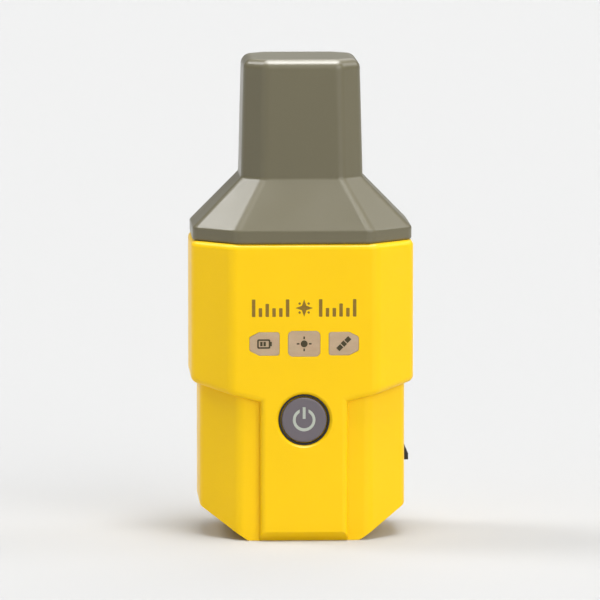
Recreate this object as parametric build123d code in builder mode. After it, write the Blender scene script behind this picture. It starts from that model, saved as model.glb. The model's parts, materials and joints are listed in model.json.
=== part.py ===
from build123d import *
import os

# A pocket satellite-positioning receiver. Front faces -Y, +X is its right-hand side, +Z is up.
# The origin is the centre of its base, and every length is in millimetres.

# Driving dimensions: outer shape
BODY_WIDTH = 60.8
BODY_DEPTH = 50.0
BODY_CORNER = 10.6
STEP_IN = 2.3
LOWER_CORNER_GAIN = 1.1
SPINE_WIDTH = 24.0
SPINE_ROUND = 2.5
COLLAR_SIDE_Z = 42.8
COLLAR_SPINE_Z = 38.2
COLLAR_ROUND = 1.8
SEAM_Z = 81.5
BASE_FLAT_WIDTH = 30.4
BASE_CUT_HEIGHT = 8.6
BASE_CUT_ROUND = 3.5
BASE_EDGE_ROUND = 1.5
SPINE_CUT_HEIGHT = 2.6
EDGE_SOFT = 4.0
TOP_EDGE_ROUND = 1.6

# Radome
RIM_WIDTH = 60.0
RIM_DEPTH = 49.2
RIM_CORNER = 11.4
RIM_TOP_Z = 85.0
RIM_UNDER_CHAMFER = 0.5
RIM_TOP_ROUND = 0.8
COLUMN_WIDTH = 33.4
COLUMN_TOP_WIDTH = 31.8
COLUMN_CORNER = 5.75
COLUMN_TOP_CORNER = 5.55
FLARE_TOP_Z = 98.6
TOP_Z = 131.0
COLUMN_TOP_ROUND = 2.8
COLUMN_FOOT_ROUND = 1.2
COLUMN_SOFT = 3.4
RADOME_WALL = 2.0
RADOME_INNER_SOFT = 0.8
FLARE_WALL_LOW = 0.7
FLARE_WALL_TOP = 0.8
TOP_WALL = 2.4

# Tongue of the radome and the gasket round it
TONGUE_LOW_Z = 77.5
TONGUE_WALL = 1.6
TONGUE_GAP = 0.1
GASKET_LOW_Z = 78.6
GASKET_HEIGHT = 1.6
GASKET_DEPTH = 0.9

# Walls and cavity of the housing
WALL = 2.2
FLOOR = 3.5
UPPER_CAVITY_Z = 46.0
CAVITY_SOFT = 1.2
CAVITY_CUT_RISE = 1.0
CAVITY_FLOOR_GAIN = 0.6
SPINE_CORE_LOW_Z = 6.0
CUT_CORNER_SHARE = 2.0 - 2.0**0.5

# How far a cutting shape runs past the face that it opens, and joined shapes into each other
PAST = 1.0
# Two places closer than this count as the same
SAME = 0.01

# Status lights
LIGHT_Z = 54.3
LIGHT_PITCH = 10.8
LENS_WIDTH = 8.8
LENS_HEIGHT = 7.0
LENS_CORNER = 1.3
TAG_WIDTH = 8.2
TAG_INNER_HEIGHT = 6.4
TAG_OUTER_HEIGHT = 3.8
TAG_SLOPE_WIDTH = 2.6
TAG_SOFT = 0.7
LENS_THICK = 1.2
LENS_GAP = 0.05
GUIDE_RADIUS = 2.0
GUIDE_HOLE_RADIUS = 2.1
GUIDE_END_Y = -14.9
LED_WIDTH = 1.6
LED_HEIGHT = 1.0
LED_THICK = 0.8

# Power button
BUTTON_Z = 33.4
RECESS_RADIUS = 7.0
RECESS_DEPTH = 1.7
RECESS_CHAMFER = 0.7
BEZEL_INNER_RADIUS = 6.45
BEZEL_SET_BACK = 0.45
BEZEL_ROUND = 0.2
CAP_RADIUS = 6.15
CAP_SET_BACK = 0.2
CAP_BACK = 1.2
CAP_ROUND = 0.5
ICON_RADIUS = 3.1
ICON_STROKE = 0.8
ICON_DEPTH = 0.3
STEM_RADIUS = 3.0
STEM_HOLE_RADIUS = 3.25
STEM_END_Y = -18.75
STEM_BOSS_RADIUS = 5.5
STEM_BOSS_LENGTH = 4.0
STEM_BOSS_END_Y = -19.8
O_RING_SPAN_Y = (-22.3, -21.3)
O_RING_CORE = 2.4
CLIP_SPAN_Y = (-19.75, -19.15)
CLIP_CORE = 2.6
CLIP_RADIUS = 4.4
CLIP_MOUTH = 3.2
SWITCH_HALF = 3.1
SWITCH_FRONT_Y = -17.3
SWITCH_BORE_Y = -16.0
SWITCH_CHAMFER = 0.3
PLUNGER_RADIUS = 1.75
PLUNGER_BACK_Y = -16.6
RUNNING_GAP = 0.05

# Side port and its door
PORT_Z = 30.0
PORT_WALL = 1.6
POCKET_HALF_Y = 4.2
POCKET_HALF_Z = 6.8
POCKET_FLOOR_X = 20.0
POCKET_BACK_X = 19.0
SOCKET_SLOT_LENGTH = 9.6
SOCKET_SLOT_WIDTH = 3.9
DOOR_THICK = 1.8
DOOR_SEAT_GAP = 0.1
DOOR_HALF_Y = 6.6
DOOR_BOTTOM_Z = 20.0
DOOR_GAP = 0.3
HINGE_X = 26.8
HINGE_Z = 39.6
HINGE_BLOCK_X = 24.0
HINGE_BLOCK_RISE = 2.6
KNUCKLE_RADIUS = 1.3
PIN_RADIUS = 0.7
PIN_HALF_LENGTH = 8.6
LIP_OUT = 1.4
LIP_HEIGHT = 5.0
LIP_TIP_HEIGHT = 1.6
LIP_ROUND = 0.5
SEAL_FACE_X = 25.1
SEAL_HALF_Y = 3.9
SEAL_HALF_Z = 6.5
SEAL_BAND = 1.2
SEAL_CORNER = 1.0

# USB-C socket
SOCKET_LENGTH = 8.94
SOCKET_WIDTH = 3.26
SOCKET_SHEET = 0.3
SOCKET_SHELL_DEPTH = 7.3
SOCKET_BACK_SPAN_X = (11.6, 13.0)
SOCKET_TONGUE_SPAN_X = (12.0, 18.2)
SOCKET_TONGUE_HALF_Y = 0.35
USB_GASKET_X = 18.65
USB_GASKET_THICK = 0.35
USB_GASKET_LENGTH = 12.0
USB_GASKET_WIDTH = 5.6

# Boards, as spans along each axis
MAIN_BOARD_FRONT = -3.23
MAIN_BOARD_BACK = -1.63
MAIN_BOARD_HALF_X = 18.6
MAIN_BOARD_SPAN_Z = (12.4, 70.0)
PANEL_BOARD_FRONT = -13.75
PANEL_BOARD_BACK = -12.55
PANEL_BOARD_HALF_X = 16.0
PANEL_BOARD_SPAN_Z = (18.0, 61.0)
BOARD_CORNER = 1.0
BOARD_LINK_HALF_X = 6.0
BOARD_LINK_SPAN_Z = (43.0, 47.0)
BOARD_LINK_CHAMFER = 0.5
PLATE_FRONT = -0.2
PLATE_BACK = 1.6
CAN_SHEET = 0.3
CAN_ROUND = 0.8
POSITIONING_CAN_SPANS = ((-10.5, 10.5), (-6.2, MAIN_BOARD_FRONT), (49.0, 68.0))
RADIO_CAN_SPANS = ((-16.0, -2.0), (-5.6, MAIN_BOARD_FRONT), (25.0, 39.0))
CHIP_SPANS = (
    ((2.0, 12.0), (28.0, 38.0), 1.0),
    ((-4.0, 4.0), (14.0, 22.0), 1.2),
    ((6.0, 10.0), (14.5, 18.5), 2.0),
    ((-12.0, -8.0), (42.0, 46.0), 0.9),
    ((10.0, 14.0), (42.0, 45.0), 0.8),
)

# Battery
CELL_HALF_X = 18.0
CELL_SPANS_Y = ((2.2, 9.7), (9.9, 17.4))
CELL_SPAN_Z = (12.2, 66.0)
CELL_CORNER = 2.5
BATTERY_BOARD_HALF_X = 15.0
BATTERY_BOARD_SPAN_Y = (3.2, 16.5)
BATTERY_BOARD_THICK = 1.2
CONNECTOR_HALF_X = 5.0
CONNECTOR_BACK_Y = 6.0
CONNECTOR_HEIGHT = 2.4
FOAM_SPANS = ((-14.0, 14.0), (17.4, 18.4), (49.0, 63.0))
BRACKET_SHEET = 0.8
BRACKET_FRONT_Y = 6.0
BRACKET_SPAN_Z = (48.5, 64.0)
BRACKET_BEND = 1.5
BRACKET_SCREW_Y = 9.0
BRACKET_SCREW_Z = 56.0

# Fasteners
M2_RADIUS = 1.0
M2_HOLE_RADIUS = 1.05
M2_HEAD_RADIUS = 1.8
M2_HEAD_HEIGHT = 1.2
SLOT_DEPTH = 0.6
SLOT_LENGTH_SHARE = 1.2
SLOT_WIDTH_SHARE = 0.26
BASE_SCREW_RADIUS = 1.25
BASE_SCREW_HEAD_RADIUS = 2.4
BASE_SCREW_HEAD_HEIGHT = 1.6
BASE_SCREW_HEAD_Z = 2.5
BASE_SCREW_LENGTH = 8.5
BASE_SCREW_X = 11.2
BASE_SCREW_Y = 15.0
BASE_RECESS_RADIUS = 2.8
BASE_RECESS_TOP_Z = 3.0
BASE_BOSS_RADIUS = 4.2
BASE_BOSS_TOP_Z = 6.0
INSERT_RADIUS = 5.5
INSERT_LENGTH = 8.6
INSERT_THREAD_RADIUS = 2.6
INSERT_THREAD_DEPTH = 7.6
INSERT_MOUTH_CHAMFER = 0.5
INSERT_BOSS_TOP_Z = 9.2
RADOME_SCREW_X = 20.0
RADOME_SCREW_Y = 11.5
RADOME_SCREW_HEAD_RADIUS = 1.9
RADOME_SCREW_HEAD_HEIGHT = 1.4
RADOME_SCREW_LENGTH = 10.0
RADOME_BOSS_RADIUS = 3.0
RADOME_BOSS_LENGTH = 13.0
RADOME_BOSS_BORE = 9.0
STANDOFF_X = 13.5
STANDOFF_LOW_Z = 21.0
STANDOFF_HIGH_Z = 58.0
STANDOFF_RADIUS = 2.3
PANEL_SCREW_LENGTH = 4.5
BOARD_POST = 12.5
POST_RADIUS = 2.5
POST_HOLE_RADIUS = 2.6

# Chassis
TRAY_IN_X = 18.3
TRAY_OUT_X = 19.5
PLATE_LOW_Z = 9.8
FOOT_HALF_X = 17.5
FOOT_HALF_Y = 18.0
FOOT_TOP_Z = 12.0
TRAY_WALL_BACK_Y = 12.0
TRAY_WALL_SPAN_Z = (42.0, 68.0)
SCREW_POST_RADIUS = 3.0
SCREW_POST_HEIGHT = 5.0
CONNECTOR_SLOT_HALF_X = 6.0
CONNECTOR_SLOT_SPAN_Z = (66.0, 71.0)
SOCKET_NOTCH_X = 10.5
SOCKET_NOTCH_HALF_Z = 5.5
PORT_NOTCH_X = 18.5
PORT_NOTCH_HALF_Z = 9.0
DECK_WIDTH = 53.0
DECK_DEPTH = 42.0
DECK_CORNER = 9.4
DECK_SOFT = 1.0

# Antenna stack
DECK_Z = 74.0
DECK_TOP_Z = 76.0
GROUND_WIDTH = 51.0
GROUND_DEPTH = 40.0
GROUND_CORNER = 8.5
GROUND_SHEET = 0.5
ANTENNA_BOARD_Z = 80.0
ANTENNA_BOARD_TOP_Z = 81.6
ANTENNA_BOARD_RADIUS = 19.8
ANTENNA_SCREW_LENGTH = 6.0
AMPLIFIER_CAN_SPANS = ((-4.0, 12.0), (-7.0, 7.0), (77.2, ANTENNA_BOARD_Z))
FORMER_RADIUS = 12.5
FORMER_WALL = 1.4
FORMER_TOP_Z = 126.0
CAP_BOARD_THICK = 0.8
PAD_RADIUS = 9.0
PAD_THICK = 1.6
ARM_HEIGHT = 42.0
ARM_WIDTH = 2.0
ARM_THICK = 0.3
ARM_GAP = 0.02
COAX_X = -9.0
COAX_Y = -3.5
COAX_RADIUS = 0.9
COAX_PLUG_RADIUS = 1.7
COAX_HOLE_RADIUS = 2.6
COAX_LOW_Z = 71.5
COAX_PLUG_HEIGHT = 2.0
RADIO_SOCKET_HALF_X = 2.0
RADIO_SOCKET_FRONT_Y = -5.6
RADIO_SOCKET_LOW_Z = 68.6

# Back of the housing
LABEL_WIDTH = 17.0
LABEL_DEPTH = 0.3
LABEL_SPAN_Z = (12.0, 36.0)
VENT_Z = 70.0
VENT_RADIUS = 3.0
VENT_LENGTH = 2.4
VENT_HEAD_RADIUS = 4.5
VENT_HEAD_DEPTH = 0.8
VENT_CHAMFER = 0.3
VENT_SEAT_GAP = 0.1

# Worked out from the driving dimensions
front_y = -BODY_DEPTH / 2
lower_width = BODY_WIDTH - 2 * STEP_IN
lower_depth = BODY_DEPTH - 2 * STEP_IN
lower_corner = BODY_CORNER - STEP_IN * CUT_CORNER_SHARE + LOWER_CORNER_GAIN
upper_corner = BODY_CORNER - WALL * CUT_CORNER_SHARE
side_x = lower_width / 2
main_board_top_z = MAIN_BOARD_SPAN_Z[1]
cell_top_z = CELL_SPAN_Z[1]
battery_board_top_z = cell_top_z + BATTERY_BOARD_THICK
corner_places = [(x, y) for x in (-1, 1) for y in (-1, 1)]
base_screw_places = [(x * BASE_SCREW_X, y * BASE_SCREW_Y) for x, y in corner_places]
radome_screw_places = [(x * RADOME_SCREW_X, y * RADOME_SCREW_Y) for x, y in corner_places]
post_places = [(x * BOARD_POST, y * BOARD_POST) for x, y in corner_places]
standoff_places = [(x, z) for x in (-STANDOFF_X, STANDOFF_X) for z in (STANDOFF_LOW_Z, STANDOFF_HIGH_Z)]
light_places = {"left": -LIGHT_PITCH, "centre": 0.0, "right": LIGHT_PITCH}


def eight_sided(plane, width, depth, corner, soft):
    """A rectangle with its corners cut and all its edges softened, on a plane."""
    with BuildSketch(plane) as outline:
        Rectangle(width, depth)
        chamfer(outline.vertices(), corner)
        fillet(outline.vertices(), soft)
    return outline.sketch


def power_mark(plane):
    """The power sign: an open ring with a bar standing in its gap."""
    gap = 3 * ICON_STROKE
    with BuildSketch(plane) as mark:
        Circle(ICON_RADIUS)
        Circle(ICON_RADIUS - ICON_STROKE, mode=Mode.SUBTRACT)
        with Locations((0, ICON_RADIUS - ICON_STROKE / 2)):
            Rectangle(gap, gap, mode=Mode.SUBTRACT)
        with Locations((0, ICON_RADIUS - 1.5 * ICON_STROKE)):
            Rectangle(ICON_STROKE, 4 * ICON_STROKE)
    return mark.sketch


def disc(plane, radius, hole=0.0):
    """A round, or a ring where a hole is given."""
    with BuildSketch(plane) as outline:
        Circle(radius)
        if hole:
            Circle(hole, mode=Mode.SUBTRACT)
    return outline.sketch


def across(y, x=0.0, z=0.0):
    """A plane facing the front, with its origin at a point."""
    return Plane(origin=(x, y, z), x_dir=(1, 0, 0), z_dir=(0, -1, 0))


def level(x, y, z):
    """A plane facing up, with its origin at a point."""
    return Plane(origin=(x, y, z), x_dir=(1, 0, 0), z_dir=(0, 0, 1))


def underside(x, y, z):
    """A plane facing down, with its origin at a point."""
    return Plane(origin=(x, y, z), x_dir=(1, 0, 0), z_dir=(0, 0, -1))


def sideways(side, x, y, z):
    """A plane facing right for a side of 1 and left for -1, with its origin at a point."""
    return Plane(origin=(side * x, y, z), x_dir=(0, 1, 0), z_dir=(side, 0, 0))


def lens_outline(name, x, inset):
    """A status light's face: a rounded square in the centre, tags that narrow outwards beside it."""
    outward = {"left": -1, "centre": 0, "right": 1}[name]
    with BuildSketch(across(front_y + LENS_THICK, x, LIGHT_Z)) as outline:
        if outward == 0:
            RectangleRounded(LENS_WIDTH - 2 * inset, LENS_HEIGHT - 2 * inset, LENS_CORNER - inset)
        else:
            outer_x = outward * (TAG_WIDTH / 2 - inset)
            slope_x = outer_x - outward * TAG_SLOPE_WIDTH
            tall = TAG_INNER_HEIGHT / 2 - inset
            low = TAG_OUTER_HEIGHT / 2 - inset
            corners = [(-outer_x, tall), (slope_x, tall), (outer_x, low)]
            mirrored = [(corner_x, -corner_z) for corner_x, corner_z in reversed(corners)]
            Polygon(*corners, *mirrored, align=None)
            fillet(outline.vertices(), TAG_SOFT)
    return outline.sketch


def block(x_span, y_span, z_span, mode=Mode.ADD):
    """A box in the open part, given its two ends along each axis."""
    spans = (x_span, y_span, z_span)
    with Locations(tuple(sum(span) / 2 for span in spans)):
        Box(*(high - low for low, high in spans), mode=mode)


def rod(plane, radius, length, mode=Mode.ADD):
    """A cylinder in the open part, standing on a plane."""
    extrude(disc(plane, radius), amount=length, mode=mode)


def pan_screw(head_plane, head_radius, head_height, shank_radius, length):
    """A pan-head screw in the open part. The plane lies under the head and faces out of it."""
    rod(head_plane, head_radius, head_height)
    rod(head_plane.offset(-length), shank_radius, length)
    recess = cross_slots(head_plane.offset(head_height - SLOT_DEPTH), head_radius)
    extrude(recess, amount=SLOT_DEPTH + PAST, mode=Mode.SUBTRACT)


def cross_slots(plane, head_radius):
    """The cross-shaped driver recess of a screw head."""
    with BuildSketch(plane) as recess:
        Rectangle(SLOT_LENGTH_SHARE * head_radius, SLOT_WIDTH_SHARE * head_radius)
        Rectangle(SLOT_WIDTH_SHARE * head_radius, SLOT_LENGTH_SHARE * head_radius)
    return recess.sketch


def shield_can(spans, open_towards):
    """A sheet-metal can in the open part: soft corners, and open at its far end along an axis."""
    which, axis = {"back": (1, Axis.Y), "top": (2, Axis.Z)}[open_towards]
    block(*spans)
    fillet(edges().filter_by(axis), CAN_ROUND)
    inside = [(low + CAN_SHEET, high - CAN_SHEET) for low, high in spans]
    inside[which] = (spans[which][0] + CAN_SHEET, spans[which][1])
    block(*inside, Mode.SUBTRACT)


def finish(part, label):
    """Labels a finished piece and writes it."""
    part.label = label
    export_step(part, f"parts/{label}.step")


os.makedirs("parts", exist_ok=True)

# ---------------------------------------------------------------- housing

# The raised skin: the collar above a shallow V edge, and the spine that runs down from it.
with BuildPart() as raised_skin:
    extrude(eight_sided(Plane.XY, BODY_WIDTH, BODY_DEPTH, BODY_CORNER, EDGE_SOFT), amount=SEAM_Z)
    with BuildSketch(Plane.XZ) as collar_outline:
        with BuildLine():
            half_spine = SPINE_WIDTH / 2
            slope = (COLLAR_SIDE_Z - COLLAR_SPINE_Z) / (BODY_WIDTH / 2 - half_spine)
            out_x = BODY_WIDTH / 2 + PAST
            out_z = COLLAR_SIDE_Z + PAST * slope
            Polyline(
                (half_spine, -PAST),
                (half_spine, COLLAR_SPINE_Z),
                (out_x, out_z),
                (out_x, SEAM_Z + PAST),
                (-out_x, SEAM_Z + PAST),
                (-out_x, out_z),
                (-half_spine, COLLAR_SPINE_Z),
                (-half_spine, -PAST),
                close=True,
            )
        make_face()
        inner_corners = collar_outline.vertices().filter_by(
            lambda v: abs(abs(v.X) - half_spine) < SAME and v.Z > 0
        )
        fillet(inner_corners, SPINE_ROUND)
    extrude(amount=BODY_DEPTH, both=True, mode=Mode.INTERSECT)
    # The faces under the collar and beside the spine lie across the middle of the depth.
    under_faces = raised_skin.faces().filter_by(
        lambda f: SAME < f.center().Z < COLLAR_SIDE_Z
        and abs(f.center().Y) < SAME
        and abs(f.center().X) > half_spine - SAME
    )
    collar_edges = under_faces.edges().filter_by(
        lambda e: SAME < e.center().Z < COLLAR_SIDE_Z + SAME
        and (abs(e.center().Y) > SAME or abs(e.center().X) > BODY_WIDTH / 2 - SAME)
    )
    fillet(collar_edges, COLLAR_ROUND)

# The skin set back below the collar, with its two long bottom corners cut away.
with BuildPart() as lower_skin:
    extrude(
        eight_sided(Plane.XY, lower_width, lower_depth, lower_corner, EDGE_SOFT),
        amount=UPPER_CAVITY_Z,
    )
    with BuildSketch(Plane.XZ) as base_outline:
        with BuildLine():
            Polyline(
                (-side_x, UPPER_CAVITY_Z + PAST),
                (-side_x, BASE_CUT_HEIGHT),
                (-BASE_FLAT_WIDTH / 2, 0),
                (BASE_FLAT_WIDTH / 2, 0),
                (side_x, BASE_CUT_HEIGHT),
                (side_x, UPPER_CAVITY_Z + PAST),
                close=True,
            )
        make_face()
        cut_tops = base_outline.vertices().filter_by(lambda v: abs(v.Z - BASE_CUT_HEIGHT) < SAME)
        fillet(cut_tops, BASE_CUT_ROUND)
        cut_feet = base_outline.vertices().filter_by(lambda v: abs(v.Z) < SAME)
        fillet(cut_feet, BASE_EDGE_ROUND)
    extrude(amount=BODY_DEPTH, both=True, mode=Mode.INTERSECT)

with BuildPart() as housing:
    add(raised_skin.part)
    # The spine's lower end slopes back to the set-back skin.
    for side in (-1, 1):
        with BuildSketch(Plane.YZ):
            with BuildLine():
                Polyline(
                    (side * BODY_DEPTH / 2, SPINE_CUT_HEIGHT),
                    (side * lower_depth / 2, 0),
                    (side * lower_depth / 2, -PAST),
                    (side * (BODY_DEPTH / 2 + PAST), -PAST),
                    (side * (BODY_DEPTH / 2 + PAST), SPINE_CUT_HEIGHT),
                    close=True,
                )
            make_face()
        extrude(amount=SPINE_WIDTH, both=True, mode=Mode.SUBTRACT)
    add(lower_skin.part)
    fillet(housing.faces().sort_by(Axis.Z)[-1].edges(), TOP_EDGE_ROUND)

    # Cavity: wide in the collar, narrower below, with the bottom corners following the outside.
    extrude(
        eight_sided(
            Plane.XY.offset(UPPER_CAVITY_Z),
            BODY_WIDTH - 2 * WALL,
            BODY_DEPTH - 2 * WALL,
            upper_corner,
            CAVITY_SOFT,
        ),
        amount=SEAM_Z,
        mode=Mode.SUBTRACT,
    )
    cavity_x = side_x - WALL
    floor_x = BASE_FLAT_WIDTH / 2 + CAVITY_FLOOR_GAIN
    with BuildSketch(Plane.XZ) as cavity_outline:
        with BuildLine():
            Polyline(
                (-cavity_x, UPPER_CAVITY_Z),
                (-cavity_x, BASE_CUT_HEIGHT + CAVITY_CUT_RISE),
                (-floor_x, FLOOR),
                (floor_x, FLOOR),
                (cavity_x, BASE_CUT_HEIGHT + CAVITY_CUT_RISE),
                (cavity_x, UPPER_CAVITY_Z),
                close=True,
            )
        make_face()
    cavity_front = extrude(cavity_outline.sketch, amount=BODY_DEPTH, both=True, mode=Mode.PRIVATE)
    cavity_plan = extrude(
        eight_sided(
            Plane.XY,
            lower_width - 2 * WALL,
            lower_depth - 2 * WALL,
            lower_corner - WALL * CUT_CORNER_SHARE,
            CAVITY_SOFT,
        ),
        amount=UPPER_CAVITY_Z + PAST,
        mode=Mode.PRIVATE,
    )
    add(cavity_front & cavity_plan, mode=Mode.SUBTRACT)
    # The spine is cored out to the collar's wall thickness.
    core_x = SPINE_WIDTH / 2 - WALL
    for side in (-1, 1):
        depths = sorted((side * (lower_depth / 2 - WALL - PAST), side * (BODY_DEPTH / 2 - WALL)))
        block((-core_x, core_x), depths, (SPINE_CORE_LOW_Z, UPPER_CAVITY_Z), Mode.SUBTRACT)

    # Bosses on the floor: one round the pole insert and four for the base screws.
    rod(level(0, 0, PAST), INSERT_RADIUS + WALL, INSERT_BOSS_TOP_Z - PAST)
    for x, y in base_screw_places:
        rod(level(x, y, PAST), BASE_BOSS_RADIUS, BASE_BOSS_TOP_Z - PAST)
    rod(level(0, 0, -PAST), INSERT_RADIUS, INSERT_LENGTH + PAST, Mode.SUBTRACT)
    for x, y in base_screw_places:
        rod(level(x, y, -PAST), BASE_RECESS_RADIUS, BASE_RECESS_TOP_Z + PAST, Mode.SUBTRACT)
        rod(level(x, y, 0), BASE_SCREW_RADIUS + RUNNING_GAP, BASE_BOSS_TOP_Z + PAST, Mode.SUBTRACT)

    # Power button: guide boss, dished recess and stem hole.
    rod(across(STEM_BOSS_END_Y, 0, BUTTON_Z), STEM_BOSS_RADIUS, STEM_BOSS_LENGTH)
    rod(across(front_y + RECESS_DEPTH, 0, BUTTON_Z), RECESS_RADIUS, RECESS_DEPTH + PAST, Mode.SUBTRACT)
    hole_end = across(STEM_BOSS_END_Y + PAST, 0, BUTTON_Z)
    rod(hole_end, STEM_HOLE_RADIUS, STEM_BOSS_END_Y + PAST - front_y, Mode.SUBTRACT)
    recess_rim = housing.edges().filter_by(GeomType.CIRCLE).filter_by(
        lambda e: abs(e.radius - RECESS_RADIUS) < SAME and abs(e.center().Y - front_y) < SAME
    )
    chamfer(recess_rim, RECESS_CHAMFER)

    # Port: a thick block behind the door carries the pocket, whose floor has the socket's slot.
    pocket_wall_y = POCKET_HALF_Y + PORT_WALL
    pocket_wall_z = POCKET_HALF_Z + PORT_WALL
    block(
        (POCKET_BACK_X, side_x - PAST),
        (-pocket_wall_y, pocket_wall_y),
        (PORT_Z - pocket_wall_z, PORT_Z + pocket_wall_z),
    )
    hinge_wall_y = PIN_HALF_LENGTH + PORT_WALL
    block(
        (HINGE_BLOCK_X, side_x - PAST),
        (-hinge_wall_y, hinge_wall_y),
        (DOOR_BOTTOM_Z - PORT_WALL, HINGE_Z + KNUCKLE_RADIUS + HINGE_BLOCK_RISE),
    )
    door_space_y = DOOR_HALF_Y + DOOR_GAP
    block(
        (side_x - DOOR_THICK - DOOR_SEAT_GAP, side_x + PAST),
        (-door_space_y, door_space_y),
        (DOOR_BOTTOM_Z - DOOR_GAP, HINGE_Z),
        Mode.SUBTRACT,
    )
    block(
        (POCKET_FLOOR_X, side_x),
        (-POCKET_HALF_Y, POCKET_HALF_Y),
        (PORT_Z - POCKET_HALF_Z, PORT_Z + POCKET_HALF_Z),
        Mode.SUBTRACT,
    )
    with BuildSketch(Plane.YZ.offset(POCKET_BACK_X - PAST)):
        with Locations((0, PORT_Z)):
            SlotOverall(SOCKET_SLOT_LENGTH, SOCKET_SLOT_WIDTH, rotation=90)
    extrude(amount=POCKET_FLOOR_X - POCKET_BACK_X + 2 * PAST, mode=Mode.SUBTRACT)
    hinge_end = across(door_space_y, HINGE_X, HINGE_Z)
    rod(hinge_end, KNUCKLE_RADIUS + DOOR_GAP, 2 * door_space_y, Mode.SUBTRACT)
    block(
        (HINGE_X, side_x),
        (-door_space_y, door_space_y),
        (HINGE_Z, COLLAR_SIDE_Z - DOOR_GAP),
        Mode.SUBTRACT,
    )
    rod(across(PIN_HALF_LENGTH, HINGE_X, HINGE_Z), PIN_RADIUS, 2 * PIN_HALF_LENGTH, Mode.SUBTRACT)

    # Status-light openings: a shaped seat in the face, and a round hole for the guide behind it.
    for name, x in light_places.items():
        rod(across(front_y + WALL + PAST, x, LIGHT_Z), GUIDE_HOLE_RADIUS, WALL + PAST, Mode.SUBTRACT)
        extrude(lens_outline(name, x, 0.0), amount=LENS_THICK + PAST, mode=Mode.SUBTRACT)

    # Back: seat of the blank label, and the vent's stepped hole.
    block(
        (-LABEL_WIDTH / 2, LABEL_WIDTH / 2),
        (-front_y - LABEL_DEPTH, -front_y + PAST),
        LABEL_SPAN_Z,
        Mode.SUBTRACT,
    )
    vent_plane = across(-front_y, 0, VENT_Z)
    rod(vent_plane.offset(-PAST), VENT_HEAD_RADIUS + VENT_SEAT_GAP, VENT_HEAD_DEPTH + PAST, Mode.SUBTRACT)
    rod(vent_plane.offset(-PAST), VENT_RADIUS, WALL + 2 * PAST, Mode.SUBTRACT)
finish(housing.part, "housing")

# ---------------------------------------------------------------- radome

tongue_width = BODY_WIDTH - 2 * WALL - 2 * TONGUE_GAP
tongue_depth = BODY_DEPTH - 2 * WALL - 2 * TONGUE_GAP
inner_width = tongue_width - 2 * TONGUE_WALL
inner_depth = tongue_depth - 2 * TONGUE_WALL
inner_corner = upper_corner - TONGUE_WALL * CUT_CORNER_SHARE
inner_column = COLUMN_WIDTH - 2 * RADOME_WALL
inner_column_top = COLUMN_TOP_WIDTH - 2 * RADOME_WALL
inner_column_corner = COLUMN_CORNER - RADOME_WALL * CUT_CORNER_SHARE
inner_flare_low_z = RIM_TOP_Z + FLARE_WALL_LOW
inner_flare_top_z = FLARE_TOP_Z - FLARE_WALL_TOP


def column_outline(z, width, corner):
    """The column's outer outline at a height."""
    return eight_sided(Plane.XY.offset(z), width, width, corner, COLUMN_SOFT)


def inner_outline(z, width, depth, corner):
    """The outline of the radome's hollow at a height."""
    return eight_sided(Plane.XY.offset(z), width, depth, corner, RADOME_INNER_SOFT)


def tongue_ring(outward):
    """The ring round the tongue at the gasket's height, as far outwards as asked."""
    ring_plane = Plane.XY.offset(GASKET_LOW_Z)
    outer = eight_sided(
        ring_plane, tongue_width + 2 * outward, tongue_depth + 2 * outward, upper_corner, CAVITY_SOFT
    )
    core_width = tongue_width - 2 * GASKET_DEPTH
    core_depth = tongue_depth - 2 * GASKET_DEPTH
    return outer - eight_sided(ring_plane, core_width, core_depth, upper_corner, CAVITY_SOFT)


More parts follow.
